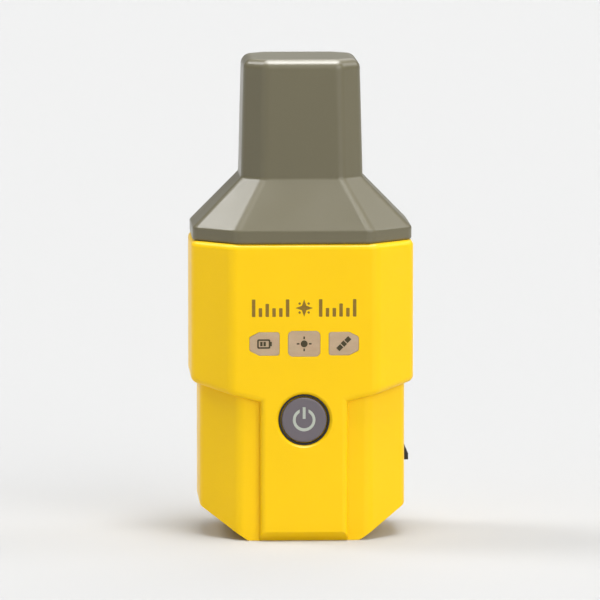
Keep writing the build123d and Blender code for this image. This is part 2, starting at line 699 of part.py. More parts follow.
with BuildPart() as radome:
    extrude(
        eight_sided(Plane.XY.offset(SEAM_Z), RIM_WIDTH, RIM_DEPTH, RIM_CORNER, EDGE_SOFT),
        amount=RIM_TOP_Z - SEAM_Z,
    )
    chamfer(radome.faces().sort_by(Axis.Z)[0].edges(), RIM_UNDER_CHAMFER)
    loft(
        [
            eight_sided(Plane.XY.offset(RIM_TOP_Z), RIM_WIDTH, RIM_DEPTH, RIM_CORNER, EDGE_SOFT),
            column_outline(FLARE_TOP_Z, COLUMN_WIDTH, COLUMN_CORNER),
        ],
        ruled=True,
    )
    loft(
        [
            column_outline(FLARE_TOP_Z, COLUMN_WIDTH, COLUMN_CORNER),
            column_outline(TOP_Z, COLUMN_TOP_WIDTH, COLUMN_TOP_CORNER),
        ],
        ruled=True,
    )
    foot_edges = radome.edges().filter_by(lambda e: abs(e.center().Z - FLARE_TOP_Z) < SAME)
    fillet(foot_edges, COLUMN_FOOT_ROUND)
    fillet(radome.faces().sort_by(Axis.Z)[-1].edges(), COLUMN_TOP_ROUND)
    rim_edges = radome.edges().filter_by(lambda e: abs(e.center().Z - RIM_TOP_Z) < SAME)
    fillet(rim_edges, RIM_TOP_ROUND)

    # Tongue that drops into the housing, then the hollow inside.
    extrude(
        eight_sided(Plane.XY.offset(TONGUE_LOW_Z), tongue_width, tongue_depth, upper_corner, CAVITY_SOFT),
        amount=SEAM_Z - TONGUE_LOW_Z + PAST,
    )
    extrude(
        inner_outline(TONGUE_LOW_Z, inner_width, inner_depth, inner_corner),
        amount=inner_flare_low_z - TONGUE_LOW_Z,
        mode=Mode.SUBTRACT,
    )
    loft(
        [
            inner_outline(inner_flare_low_z, inner_width, inner_depth, inner_corner),
            inner_outline(inner_flare_top_z, inner_column, inner_column, inner_column_corner),
        ],
        ruled=True,
        mode=Mode.SUBTRACT,
    )
    loft(
        [
            inner_outline(inner_flare_top_z, inner_column, inner_column, inner_column_corner),
            inner_outline(TOP_Z - TOP_WALL, inner_column_top, inner_column_top, inner_column_corner),
        ],
        ruled=True,
        mode=Mode.SUBTRACT,
    )
    # Groove for the gasket, and the four screw bosses.
    add(extrude(tongue_ring(PAST), amount=GASKET_HEIGHT, mode=Mode.PRIVATE), mode=Mode.SUBTRACT)
    boss_low_z = DECK_TOP_Z + GROUND_SHEET
    for x, y in radome_screw_places:
        rod(level(x, y, boss_low_z), RADOME_BOSS_RADIUS, RADOME_BOSS_LENGTH)
        rod(level(x, y, boss_low_z - PAST), M2_HOLE_RADIUS, RADOME_BOSS_BORE + PAST, Mode.SUBTRACT)
finish(radome.part, "radome")

with BuildPart() as radome_gasket:
    extrude(tongue_ring(TONGUE_GAP), amount=GASKET_HEIGHT)
finish(radome_gasket.part, "radome_gasket")

with BuildPart() as radome_screws:
    for x, y in radome_screw_places:
        pan_screw(
            underside(x, y, DECK_Z),
            RADOME_SCREW_HEAD_RADIUS,
            RADOME_SCREW_HEAD_HEIGHT,
            M2_RADIUS,
            RADOME_SCREW_LENGTH,
        )
finish(radome_screws.part, "radome_screws")

# ---------------------------------------------------------------- base

with BuildPart() as pole_insert:
    rod(Plane.XY, INSERT_RADIUS, INSERT_LENGTH)
    rod(level(0, 0, -PAST), INSERT_THREAD_RADIUS, INSERT_THREAD_DEPTH + PAST, Mode.SUBTRACT)
    mouth = pole_insert.edges().filter_by(GeomType.CIRCLE).filter_by(lambda e: e.center().Z < SAME)
    chamfer(mouth, INSERT_MOUTH_CHAMFER)
finish(pole_insert.part, "pole_insert")

with BuildPart() as base_screws:
    for x, y in base_screw_places:
        pan_screw(
            underside(x, y, BASE_SCREW_HEAD_Z),
            BASE_SCREW_HEAD_RADIUS,
            BASE_SCREW_HEAD_HEIGHT,
            BASE_SCREW_RADIUS,
            BASE_SCREW_LENGTH,
        )
finish(base_screws.part, "base_screws")

with BuildPart() as base_screw_seals:
    for x, y in base_screw_places:
        washer = disc(
            level(x, y, BASE_SCREW_HEAD_Z), BASE_SCREW_HEAD_RADIUS, BASE_SCREW_RADIUS + RUNNING_GAP
        )
        extrude(washer, amount=BASE_RECESS_TOP_Z - BASE_SCREW_HEAD_Z)
finish(base_screw_seals.part, "base_screw_seals")

# ---------------------------------------------------------------- power button

cap_front = front_y + CAP_SET_BACK
cap_back = front_y + CAP_BACK
icon_plane = across(cap_front + ICON_DEPTH, 0, BUTTON_Z)
stem_grooves = ((O_RING_SPAN_Y, O_RING_CORE), (CLIP_SPAN_Y, CLIP_CORE))

with BuildPart() as button_cap:
    rod(across(cap_back, 0, BUTTON_Z), CAP_RADIUS, cap_back - cap_front)
    cap_rim = button_cap.edges().filter_by(GeomType.CIRCLE).sort_by(Axis.Y)[0]
    fillet(cap_rim, CAP_ROUND)
    rod(across(STEM_END_Y, 0, BUTTON_Z), STEM_RADIUS, STEM_END_Y - cap_back)
    # Grooves of the stem: one for the seal, one for the retaining clip.
    for (groove_front, groove_back), core in stem_grooves:
        groove = disc(across(groove_back, 0, BUTTON_Z), STEM_RADIUS + PAST, core)
        extrude(groove, amount=groove_back - groove_front, mode=Mode.SUBTRACT)
    extrude(power_mark(icon_plane), amount=ICON_DEPTH + PAST, mode=Mode.SUBTRACT)
finish(button_cap.part, "button_cap")

with BuildPart() as button_icon:
    extrude(power_mark(icon_plane), amount=ICON_DEPTH)
finish(button_icon.part, "button_icon")

# The ring that lines the recess round the cap.
with BuildPart() as button_bezel:
    extrude(
        disc(across(front_y + RECESS_DEPTH, 0, BUTTON_Z), RECESS_RADIUS, BEZEL_INNER_RADIUS),
        amount=RECESS_DEPTH - BEZEL_SET_BACK,
    )
    bezel_front = button_bezel.faces().sort_by(Axis.Y)[0]
    fillet(bezel_front.edges(), BEZEL_ROUND)
finish(button_bezel.part, "button_bezel")

with BuildPart() as button_o_ring:
    ring_front, ring_back = O_RING_SPAN_Y
    ring = disc(across(ring_back, 0, BUTTON_Z), STEM_HOLE_RADIUS - RUNNING_GAP, O_RING_CORE)
    extrude(ring, amount=ring_back - ring_front)
finish(button_o_ring.part, "button_o_ring")

with BuildPart() as button_clip:
    clip_front, clip_back = CLIP_SPAN_Y
    clip = disc(across(clip_back, 0, BUTTON_Z), CLIP_RADIUS, CLIP_CORE)
    extrude(clip, amount=clip_back - clip_front)
    block(
        (-CLIP_MOUTH / 2, CLIP_MOUTH / 2),
        (clip_front - PAST, clip_back + PAST),
        (BUTTON_Z - CLIP_RADIUS - PAST, BUTTON_Z - CLIP_CORE + CLIP_MOUTH / 5),
        Mode.SUBTRACT,
    )
finish(button_clip.part, "button_clip")

with BuildPart() as tact_switch:
    block(
        (-SWITCH_HALF, SWITCH_HALF),
        (SWITCH_FRONT_Y, PANEL_BOARD_FRONT),
        (BUTTON_Z - SWITCH_HALF, BUTTON_Z + SWITCH_HALF),
    )
    chamfer(tact_switch.faces().sort_by(Axis.Y)[0].edges(), SWITCH_CHAMFER)
    bore_length = SWITCH_BORE_Y - SWITCH_FRONT_Y + PAST
    rod(across(SWITCH_BORE_Y, 0, BUTTON_Z), PLUNGER_RADIUS + RUNNING_GAP, bore_length, Mode.SUBTRACT)
finish(tact_switch.part, "tact_switch")

with BuildPart() as switch_plunger:
    plunger_front = STEM_END_Y + RUNNING_GAP
    rod(across(PLUNGER_BACK_Y, 0, BUTTON_Z), PLUNGER_RADIUS, PLUNGER_BACK_Y - plunger_front)
finish(switch_plunger.part, "switch_plunger")

# ---------------------------------------------------------------- status lights

for name, x in light_places.items():
    with BuildPart() as light_window:
        extrude(lens_outline(name, x, LENS_GAP), amount=LENS_THICK)
        rod(across(GUIDE_END_Y, x, LIGHT_Z), GUIDE_RADIUS, GUIDE_END_Y - front_y - LENS_THICK)
    finish(light_window.part, f"light_window_{name}")

with BuildPart() as status_leds:
    for x in light_places.values():
        block(
            (x - LED_WIDTH / 2, x + LED_WIDTH / 2),
            (PANEL_BOARD_FRONT - LED_THICK, PANEL_BOARD_FRONT),
            (LIGHT_Z - LED_HEIGHT / 2, LIGHT_Z + LED_HEIGHT / 2),
        )
finish(status_leds.part, "status_leds")

# ---------------------------------------------------------------- side port door

door_in_x = side_x - DOOR_THICK
lip_x = side_x + LIP_OUT

with BuildPart() as port_door:
    with BuildSketch(Plane.XZ):
        with BuildLine():
            Polyline(
                (door_in_x, DOOR_BOTTOM_Z),
                (lip_x, DOOR_BOTTOM_Z),
                (lip_x, DOOR_BOTTOM_Z + LIP_TIP_HEIGHT),
                (side_x, DOOR_BOTTOM_Z + LIP_HEIGHT),
                (side_x, HINGE_Z),
                (door_in_x, HINGE_Z),
                close=True,
            )
        make_face()
    extrude(amount=DOOR_HALF_Y, both=True)
    lip_ends = port_door.edges().filter_by(
        lambda e: e.center().X > side_x + LIP_ROUND and abs(abs(e.center().Y) - DOOR_HALF_Y) < SAME
    )
    fillet(lip_ends, LIP_ROUND)
    rod(across(DOOR_HALF_Y, HINGE_X, HINGE_Z), KNUCKLE_RADIUS, 2 * DOOR_HALF_Y)
    rod(
        across(DOOR_HALF_Y + PAST, HINGE_X, HINGE_Z),
        PIN_RADIUS + RUNNING_GAP,
        2 * DOOR_HALF_Y + 2 * PAST,
        Mode.SUBTRACT,
    )
finish(port_door.part, "port_door")

with BuildPart() as door_seal:
    block(
        (SEAL_FACE_X, door_in_x),
        (-SEAL_HALF_Y, SEAL_HALF_Y),
        (PORT_Z - SEAL_HALF_Z, PORT_Z + SEAL_HALF_Z),
    )
    fillet(door_seal.edges().filter_by(Axis.X), SEAL_CORNER)
    hole_y = SEAL_HALF_Y - SEAL_BAND
    hole_z = SEAL_HALF_Z - SEAL_BAND
    block(
        (SEAL_FACE_X - PAST, door_in_x),
        (-hole_y, hole_y),
        (PORT_Z - hole_z, PORT_Z + hole_z),
        Mode.SUBTRACT,
    )
finish(door_seal.part, "door_seal")

with BuildPart() as door_pin:
    rod(across(PIN_HALF_LENGTH, HINGE_X, HINGE_Z), PIN_RADIUS, 2 * PIN_HALF_LENGTH)
finish(door_pin.part, "door_pin")

# ---------------------------------------------------------------- back of the housing

with BuildPart() as rear_label:
    block((-LABEL_WIDTH / 2, LABEL_WIDTH / 2), (-front_y - LABEL_DEPTH, -front_y), LABEL_SPAN_Z)
finish(rear_label.part, "rear_label")

with BuildPart() as vent_plug:
    rod(vent_plane, VENT_HEAD_RADIUS, VENT_HEAD_DEPTH)
    chamfer(vent_plug.edges().filter_by(GeomType.CIRCLE).sort_by(Axis.Y)[-1], VENT_CHAMFER)
    rod(vent_plane.offset(VENT_HEAD_DEPTH), VENT_RADIUS - RUNNING_GAP, VENT_LENGTH)
finish(vent_plug.part, "vent_plug")

# ---------------------------------------------------------------- chassis

def deck_holes(low_z, length, post_radius):
    """Holes of the deck and the ground plane: at the board posts, the radome screws and the coax."""
    for x, y in post_places:
        rod(level(x, y, low_z), post_radius, length, Mode.SUBTRACT)
    for x, y in radome_screw_places:
        rod(level(x, y, low_z), M2_HOLE_RADIUS, length, Mode.SUBTRACT)
    rod(level(COAX_X, COAX_Y, low_z), COAX_HOLE_RADIUS, length, Mode.SUBTRACT)


with BuildPart() as chassis:
    block((-TRAY_OUT_X, TRAY_OUT_X), (PLATE_FRONT, PLATE_BACK), (PLATE_LOW_Z, DECK_Z + PAST))
    block((-FOOT_HALF_X, FOOT_HALF_X), (-FOOT_HALF_Y, FOOT_HALF_Y), (PLATE_LOW_Z, FOOT_TOP_Z))
    extrude(
        eight_sided(Plane.XY.offset(DECK_Z), DECK_WIDTH, DECK_DEPTH, DECK_CORNER, DECK_SOFT),
        amount=DECK_TOP_Z - DECK_Z,
    )
    for side in (-1, 1):
        wall_x = sorted((side * TRAY_IN_X, side * TRAY_OUT_X))
        block(wall_x, (PLATE_FRONT + PAST, TRAY_WALL_BACK_Y), TRAY_WALL_SPAN_Z)
    # Notches for the USB socket and for the port block, slot for the battery connector.
    through_plate = (PLATE_FRONT - PAST, PLATE_BACK + PAST)
    for notch_x, half_z in ((SOCKET_NOTCH_X, SOCKET_NOTCH_HALF_Z), (PORT_NOTCH_X, PORT_NOTCH_HALF_Z)):
        notch_span_z = (PORT_Z - half_z, PORT_Z + half_z)
        block((notch_x, TRAY_OUT_X + PAST), through_plate, notch_span_z, Mode.SUBTRACT)
    slot_span_x = (-CONNECTOR_SLOT_HALF_X, CONNECTOR_SLOT_HALF_X)
    block(slot_span_x, through_plate, CONNECTOR_SLOT_SPAN_Z, Mode.SUBTRACT)
    for x, y in base_screw_places:
        rod(level(x, y, BASE_BOSS_TOP_Z), SCREW_POST_RADIUS, SCREW_POST_HEIGHT)
        screw_hole_length = FOOT_TOP_Z - BASE_BOSS_TOP_Z + 2 * PAST
        bore = level(x, y, BASE_BOSS_TOP_Z - PAST)
        rod(bore, BASE_SCREW_RADIUS + RUNNING_GAP, screw_hole_length, Mode.SUBTRACT)
    for x, y in post_places:
        rod(level(x, y, DECK_TOP_Z - PAST), POST_RADIUS, ANTENNA_BOARD_Z - DECK_TOP_Z + PAST)
    deck_holes(DECK_Z - PAST, ANTENNA_BOARD_Z - DECK_Z + 2 * PAST, M2_HOLE_RADIUS)
    for x, z in standoff_places:
        foot_plane = across(PLATE_FRONT + PAST / 2, x, z)
        rod(foot_plane, STANDOFF_RADIUS, PLATE_FRONT + PAST / 2 - MAIN_BOARD_BACK)
        stud_hole_length = PLATE_BACK - MAIN_BOARD_BACK + 2 * PAST
        rod(across(PLATE_BACK + PAST, x, z), M2_HOLE_RADIUS, stud_hole_length, Mode.SUBTRACT)
    for side in (-1, 1):
        wall_plane = sideways(side, TRAY_IN_X - PAST, BRACKET_SCREW_Y, BRACKET_SCREW_Z)
        rod(wall_plane, M2_HOLE_RADIUS, TRAY_OUT_X - TRAY_IN_X + 2 * PAST, Mode.SUBTRACT)
finish(chassis.part, "chassis")

# ---------------------------------------------------------------- boards and what they carry


def circuit_board(half_x, y_span, z_span):
    """An upright board in the open part, with rounded corners and holes for the standoffs."""
    block((-half_x, half_x), y_span, z_span)
    fillet(edges().filter_by(Axis.Y), BOARD_CORNER)
    front, back = y_span
    for x, z in standoff_places:
        rod(across(back + PAST, x, z), M2_HOLE_RADIUS, back - front + 2 * PAST, Mode.SUBTRACT)


with BuildPart() as main_board:
    circuit_board(MAIN_BOARD_HALF_X, (MAIN_BOARD_FRONT, MAIN_BOARD_BACK), MAIN_BOARD_SPAN_Z)
finish(main_board.part, "main_board")

with BuildPart() as panel_board:
    circuit_board(PANEL_BOARD_HALF_X, (PANEL_BOARD_FRONT, PANEL_BOARD_BACK), PANEL_BOARD_SPAN_Z)
finish(panel_board.part, "panel_board")

with BuildPart() as board_standoffs:
    stud_end_y = PLATE_BACK - CAN_SHEET
    thread_end_y = PANEL_BOARD_BACK + PANEL_SCREW_LENGTH
    for x, z in standoff_places:
        with BuildSketch(across(MAIN_BOARD_FRONT, x, z)):
            RegularPolygon(STANDOFF_RADIUS, 6)
        extrude(amount=MAIN_BOARD_FRONT - PANEL_BOARD_BACK)
        rod(across(stud_end_y, x, z), M2_RADIUS, stud_end_y - MAIN_BOARD_FRONT)
        thread_length = thread_end_y - PANEL_BOARD_BACK + PAST
        rod(across(thread_end_y, x, z), M2_HOLE_RADIUS, thread_length, Mode.SUBTRACT)
finish(board_standoffs.part, "board_standoffs")

with BuildPart() as panel_screws:
    for x, z in standoff_places:
        head_plane = across(PANEL_BOARD_FRONT, x, z)
        pan_screw(head_plane, M2_HEAD_RADIUS, M2_HEAD_HEIGHT, M2_RADIUS, PANEL_SCREW_LENGTH)
finish(panel_screws.part, "panel_screws")

with BuildPart() as board_link:
    block(
        (-BOARD_LINK_HALF_X, BOARD_LINK_HALF_X),
        (PANEL_BOARD_BACK, MAIN_BOARD_FRONT),
        BOARD_LINK_SPAN_Z,
    )
    chamfer(board_link.edges().filter_by(Axis.Y), BOARD_LINK_CHAMFER)
finish(board_link.part, "board_link")

with BuildPart() as positioning_can:
    shield_can(POSITIONING_CAN_SPANS, "back")
finish(positioning_can.part, "positioning_can")

with BuildPart() as radio_can:
    shield_can(RADIO_CAN_SPANS, "back")
finish(radio_can.part, "radio_can")

with BuildPart() as board_chips:
    for x_span, z_span, height in CHIP_SPANS:
        block(x_span, (MAIN_BOARD_FRONT - height, MAIN_BOARD_FRONT), z_span)
finish(board_chips.part, "board_chips")

socket_inner_width = SOCKET_WIDTH - 2 * SOCKET_SHEET
socket_inner_length = SOCKET_LENGTH - 2 * SOCKET_SHEET

with BuildPart() as usb_socket:
    with BuildSketch(Plane.YZ.offset(POCKET_BACK_X - DOOR_SEAT_GAP)):
        with Locations((0, PORT_Z)):
            SlotOverall(SOCKET_LENGTH, SOCKET_WIDTH, rotation=90)
            SlotOverall(socket_inner_length, socket_inner_width, rotation=90, mode=Mode.SUBTRACT)
    extrude(amount=-SOCKET_SHELL_DEPTH)
    half_back_z = socket_inner_length / 2 - SOCKET_SHEET
    half_tongue_z = half_back_z - SOCKET_SHEET
    half_back_y = socket_inner_width / 2
    for x_span, half_y, half_z in (
        (SOCKET_BACK_SPAN_X, half_back_y, half_back_z),
        (SOCKET_TONGUE_SPAN_X, SOCKET_TONGUE_HALF_Y, half_tongue_z),
    ):
        block(x_span, (-half_y, half_y), (PORT_Z - half_z, PORT_Z + half_z))
finish(usb_socket.part, "usb_socket")

with BuildPart() as usb_gasket:
    with BuildSketch(Plane.YZ.offset(USB_GASKET_X)):
        with Locations((0, PORT_Z)):
            SlotOverall(USB_GASKET_LENGTH, USB_GASKET_WIDTH, rotation=90)
            SlotOverall(
                SOCKET_LENGTH + 3 * RUNNING_GAP,
                SOCKET_WIDTH + 3 * RUNNING_GAP,
                rotation=90,
                mode=Mode.SUBTRACT,
            )
    extrude(amount=USB_GASKET_THICK)
finish(usb_gasket.part, "usb_gasket")

# ---------------------------------------------------------------- battery

with BuildPart() as battery_cells:
    for y_span in CELL_SPANS_Y:
        block((-CELL_HALF_X, CELL_HALF_X), y_span, CELL_SPAN_Z)
    fillet(battery_cells.edges().filter_by(Axis.Z), CELL_CORNER)
finish(battery_cells.part, "battery_cells")

with BuildPart() as battery_board:
    block(
        (-BATTERY_BOARD_HALF_X, BATTERY_BOARD_HALF_X),
        BATTERY_BOARD_SPAN_Y,
        (cell_top_z, battery_board_top_z),
    )
finish(battery_board.part, "battery_board")

with BuildPart() as battery_connector:
    block(
        (-CONNECTOR_HALF_X, CONNECTOR_HALF_X),
        (MAIN_BOARD_BACK, CONNECTOR_BACK_Y),
        (battery_board_top_z, battery_board_top_z + CONNECTOR_HEIGHT),
    )
finish(battery_connector.part, "battery_connector")

with BuildPart() as battery_foam:
    block(*FOAM_SPANS)
finish(battery_foam.part, "battery_foam")

with BuildPart() as battery_bracket:
    bracket_x = TRAY_OUT_X + BRACKET_SHEET
    foam_back_y = FOAM_SPANS[1][1]
    bracket_low_z, bracket_high_z = BRACKET_SPAN_Z
    block((-bracket_x, bracket_x), (BRACKET_FRONT_Y, foam_back_y + BRACKET_SHEET), BRACKET_SPAN_Z)
    fillet(battery_bracket.edges().filter_by(Axis.Z).group_by(Axis.Y)[-1], BRACKET_BEND)
    block(
        (-TRAY_OUT_X, TRAY_OUT_X),
        (BRACKET_FRONT_Y - PAST, foam_back_y),
        (bracket_low_z - PAST, bracket_high_z + PAST),
        Mode.SUBTRACT,
    )
    for side in (-1, 1):
        ear_plane = sideways(side, TRAY_OUT_X - PAST, BRACKET_SCREW_Y, BRACKET_SCREW_Z)
        rod(ear_plane, M2_HOLE_RADIUS, BRACKET_SHEET + 2 * PAST, Mode.SUBTRACT)
finish(battery_bracket.part, "battery_bracket")

with BuildPart() as bracket_screws:
    for side in (-1, 1):
        head_plane = sideways(side, bracket_x, BRACKET_SCREW_Y, BRACKET_SCREW_Z)
        pan_screw(head_plane, M2_HEAD_RADIUS, M2_HEAD_HEIGHT, M2_RADIUS, bracket_x - TRAY_IN_X)
finish(bracket_screws.part, "bracket_screws")

# ---------------------------------------------------------------- antenna stack

with BuildPart() as ground_plane:
    sheet_plane = Plane.XY.offset(DECK_TOP_Z)
    extrude(
        eight_sided(sheet_plane, GROUND_WIDTH, GROUND_DEPTH, GROUND_CORNER, DECK_SOFT),
        amount=GROUND_SHEET,
    )
    deck_holes(DECK_TOP_Z - PAST, GROUND_SHEET + 2 * PAST, POST_HOLE_RADIUS)
finish(ground_plane.part, "ground_plane")

with BuildPart() as antenna_board:
    board_thick = ANTENNA_BOARD_TOP_Z - ANTENNA_BOARD_Z
    rod(Plane.XY.offset(ANTENNA_BOARD_Z), ANTENNA_BOARD_RADIUS, board_thick)
    for x, y in post_places:
        rod(level(x, y, ANTENNA_BOARD_Z - PAST), M2_HOLE_RADIUS, board_thick + 2 * PAST, Mode.SUBTRACT)
finish(antenna_board.part, "antenna_board")

with BuildPart() as antenna_board_screws:
    for x, y in post_places:
        head_plane = level(x, y, ANTENNA_BOARD_TOP_Z)
        pan_screw(head_plane, M2_HEAD_RADIUS, M2_HEAD_HEIGHT, M2_RADIUS, ANTENNA_SCREW_LENGTH)
finish(antenna_board_screws.part, "antenna_board_screws")

with BuildPart() as amplifier_can:
    shield_can(AMPLIFIER_CAN_SPANS, "top")
finish(amplifier_can.part, "amplifier_can")

with BuildPart() as radio_socket:
    socket_span_x = (COAX_X - RADIO_SOCKET_HALF_X, COAX_X + RADIO_SOCKET_HALF_X)
    block(socket_span_x, (RADIO_SOCKET_FRONT_Y, MAIN_BOARD_FRONT), (RADIO_SOCKET_LOW_Z, main_board_top_z))
    block(socket_span_x, (RADIO_SOCKET_FRONT_Y, MAIN_BOARD_BACK), (main_board_top_z, COAX_LOW_Z))
finish(radio_socket.part, "radio_socket")

with BuildPart() as coax_link:
    upper_plug_z = ANTENNA_BOARD_Z - COAX_PLUG_HEIGHT
    rod(level(COAX_X, COAX_Y, COAX_LOW_Z), COAX_PLUG_RADIUS, COAX_PLUG_HEIGHT)
    rod(level(COAX_X, COAX_Y, COAX_LOW_Z + PAST), COAX_RADIUS, upper_plug_z - COAX_LOW_Z)
    rod(level(COAX_X, COAX_Y, upper_plug_z), COAX_PLUG_RADIUS, COAX_PLUG_HEIGHT)
finish(coax_link.part, "coax_link")

with BuildPart() as antenna_former:
    rod(level(0, 0, ANTENNA_BOARD_TOP_Z), FORMER_RADIUS, FORMER_TOP_Z - ANTENNA_BOARD_TOP_Z)
    bore_length = FORMER_TOP_Z - ANTENNA_BOARD_TOP_Z + 2 * PAST
    rod(level(0, 0, ANTENNA_BOARD_TOP_Z - PAST), FORMER_RADIUS - FORMER_WALL, bore_length, Mode.SUBTRACT)
finish(antenna_former.part, "antenna_former")

with BuildPart() as antenna_cap_board:
    rod(level(0, 0, FORMER_TOP_Z), FORMER_RADIUS, CAP_BOARD_THICK)
finish(antenna_cap_board.part, "antenna_cap_board")

with BuildPart() as antenna_foam:
    rod(level(0, 0, FORMER_TOP_Z + CAP_BOARD_THICK), PAD_RADIUS, PAD_THICK)
finish(antenna_foam.part, "antenna_foam")

# Four copper strips wound half a turn up the outside of the former.
arm_radius = FORMER_RADIUS + ARM_THICK / 2 + ARM_GAP
arm_low_z = ANTENNA_BOARD_TOP_Z + PAST
with BuildPart() as antenna_arms:
    with BuildLine() as arm_path:
        Helix(pitch=2 * ARM_HEIGHT, height=ARM_HEIGHT, radius=arm_radius, center=(0, 0, arm_low_z))
    with BuildSketch(Plane(origin=arm_path.line @ 0, x_dir=(1, 0, 0), z_dir=arm_path.line % 0)):
        Rectangle(ARM_THICK, ARM_WIDTH)
    sweep(path=arm_path.line, is_frenet=True)
    one_arm = antenna_arms.part
    for quarter in (90, 180, 270):
        add(one_arm.rotate(Axis.Z, quarter))
finish(antenna_arms.part, "antenna_arms")
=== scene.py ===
import json
import math

import bmesh
import bpy
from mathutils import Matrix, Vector


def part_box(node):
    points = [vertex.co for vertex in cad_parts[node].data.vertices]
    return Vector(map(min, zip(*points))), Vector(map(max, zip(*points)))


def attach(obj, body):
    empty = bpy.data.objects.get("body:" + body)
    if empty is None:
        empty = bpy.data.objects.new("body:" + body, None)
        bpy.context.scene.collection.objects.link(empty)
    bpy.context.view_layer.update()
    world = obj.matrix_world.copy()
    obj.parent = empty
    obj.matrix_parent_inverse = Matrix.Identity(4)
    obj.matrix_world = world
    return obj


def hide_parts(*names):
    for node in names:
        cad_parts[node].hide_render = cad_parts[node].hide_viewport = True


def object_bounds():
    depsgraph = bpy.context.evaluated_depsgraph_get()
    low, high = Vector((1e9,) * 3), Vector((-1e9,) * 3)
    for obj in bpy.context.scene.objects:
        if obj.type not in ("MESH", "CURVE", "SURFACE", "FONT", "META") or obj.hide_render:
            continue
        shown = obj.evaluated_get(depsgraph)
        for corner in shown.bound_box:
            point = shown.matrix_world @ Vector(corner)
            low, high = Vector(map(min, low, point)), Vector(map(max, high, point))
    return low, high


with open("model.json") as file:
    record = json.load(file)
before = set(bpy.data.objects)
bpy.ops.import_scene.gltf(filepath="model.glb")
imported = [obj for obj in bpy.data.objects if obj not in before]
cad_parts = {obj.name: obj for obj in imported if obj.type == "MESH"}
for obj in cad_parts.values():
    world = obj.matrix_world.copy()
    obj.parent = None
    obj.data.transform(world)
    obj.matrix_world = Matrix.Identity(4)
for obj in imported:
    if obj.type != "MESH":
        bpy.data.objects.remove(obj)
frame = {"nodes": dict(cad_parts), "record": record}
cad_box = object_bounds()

# A pocket satellite-positioning receiver. Its front faces -Y and its port door is on the +X side.

MM = 0.001
RECEIVER = "receiver"
DOOR = "port_door"

low, high = cad_box
HEIGHT = high.z - low.z


def add_object(name, data):
    """A new object in the scene."""
    made = bpy.data.objects.new(name, data)
    bpy.context.collection.objects.link(made)
    return made


def turn_to(made, direction, axis):
    """Turns an object until this axis of it lies along a direction."""
    made.rotation_mode = "QUATERNION"
    made.rotation_quaternion = Vector(direction).to_track_quat(axis, "Y")


# ------------------------------------------------------------------ camera

CAMERA_DISTANCE = 2.12
CAMERA_HEIGHT = 0.298
CAMERA_AZIMUTH = math.radians(-2.6)
SENSOR_WIDTH = 36.0
CLIP_NEAR = 0.05
CLIP_FAR = 60.0
# Shares of the receiver's height: where the camera aims, and how much it takes in.
AIM_SHARE = 0.485
VIEW_HEIGHT_SHARE = 1.26


def make_camera():
    """Stands a little above the receiver, nearly square to its front, with a long lens."""
    data = bpy.data.cameras.new("camera")
    camera = add_object("camera", data)
    camera.location = (
        math.sin(CAMERA_AZIMUTH) * CAMERA_DISTANCE,
        -math.cos(CAMERA_AZIMUTH) * CAMERA_DISTANCE,
        CAMERA_HEIGHT,
    )
    aim = Vector((0.0, 0.0, HEIGHT * AIM_SHARE)) - camera.location
    turn_to(camera, aim, "-Z")
    data.sensor_width = SENSOR_WIDTH
    data.lens = SENSOR_WIDTH * aim.length / (HEIGHT * VIEW_HEIGHT_SHARE)
    data.clip_start = CLIP_NEAR
    data.clip_end = CLIP_FAR
    bpy.context.scene.camera = camera


# ------------------------------------------------------------------ stage

FLOOR_HALF = 25.0
FLOOR_SEGMENTS = 4
FLOOR_COLOUR = (0.50, 0.50, 0.497, 1.0)
FLOOR_ROUGHNESS = 0.85
FLOOR_SPECULAR = 0.2
SKY_COLOUR = (0.95, 0.97, 1.0, 1.0)
SKY_STRENGTH = 0.26
# Name, direction of the source, its width in degrees as seen from the receiver, and its strength.
LIGHTS = (
    ("overhead", (0.08, -0.14, 1.00), 28, 2.2),
    ("key", (0.55, -0.80, 0.50), 50, 1.58),
    ("left_fill", (-0.90, -0.80, 0.30), 40, 0.27),
    ("left_rim", (-0.61, 0.25, 0.75), 22, 1.2),
    ("right_rim", (0.80, 0.22, 0.52), 26, 0.6),
    ("back", (0.25, 1.00, 0.80), 40, 0.5),
)
# A broad panel straight above that only shows as a highlight on rounded top edges.
SHEEN_LIGHT = ("sheen", (0.04, 0.10, 1.00), 56, 7.0)


def soft_light(name, direction, width, strength):
    """A wide, far-off source, so that the floor is evenly lit wherever it is seen from."""
    data = bpy.data.lights.new(name, "SUN")
    data.angle = math.radians(width)
    data.energy = strength
    light = add_object(name, data)
    light.location = Vector(direction)
    turn_to(light, direction, "Z")
    light.visible_camera = False
    return light


def make_floor():
    """A plain pale floor."""
    mesh = bpy.data.meshes.new("floor")
    shape = bmesh.new()
    bmesh.ops.create_grid(
        shape, x_segments=FLOOR_SEGMENTS, y_segments=FLOOR_SEGMENTS, size=FLOOR_HALF
    )
    shape.to_mesh(mesh)
    shape.free()
    floor = add_object("floor", mesh)
    material = bpy.data.materials.new("floor_paper")
    material.use_nodes = True
    shader = material.node_tree.nodes["Principled BSDF"]
    shader.inputs["Base Color"].default_value = FLOOR_COLOUR
    shader.inputs["Roughness"].default_value = FLOOR_ROUGHNESS
    shader.inputs["Specular IOR Level"].default_value = FLOOR_SPECULAR
    mesh.materials.append(material)


def make_studio():
    """Soft studio light, under a pale sky."""
    world = bpy.data.worlds.new("studio")
    world.use_nodes = True
    bpy.context.scene.world = world
    background = world.node_tree.nodes["Background"]
    background.inputs["Color"].default_value = SKY_COLOUR
    background.inputs["Strength"].default_value = SKY_STRENGTH
    for row in LIGHTS:
        soft_light(*row)
    soft_light(*SHEEN_LIGHT).visible_diffuse = False
    # The plain transform keeps strong plastic colours as strong as they are.
    bpy.context.scene.view_settings.view_transform = "Standard"


make_camera()
make_floor()
make_studio()


# ------------------------------------------------------------------ node helpers

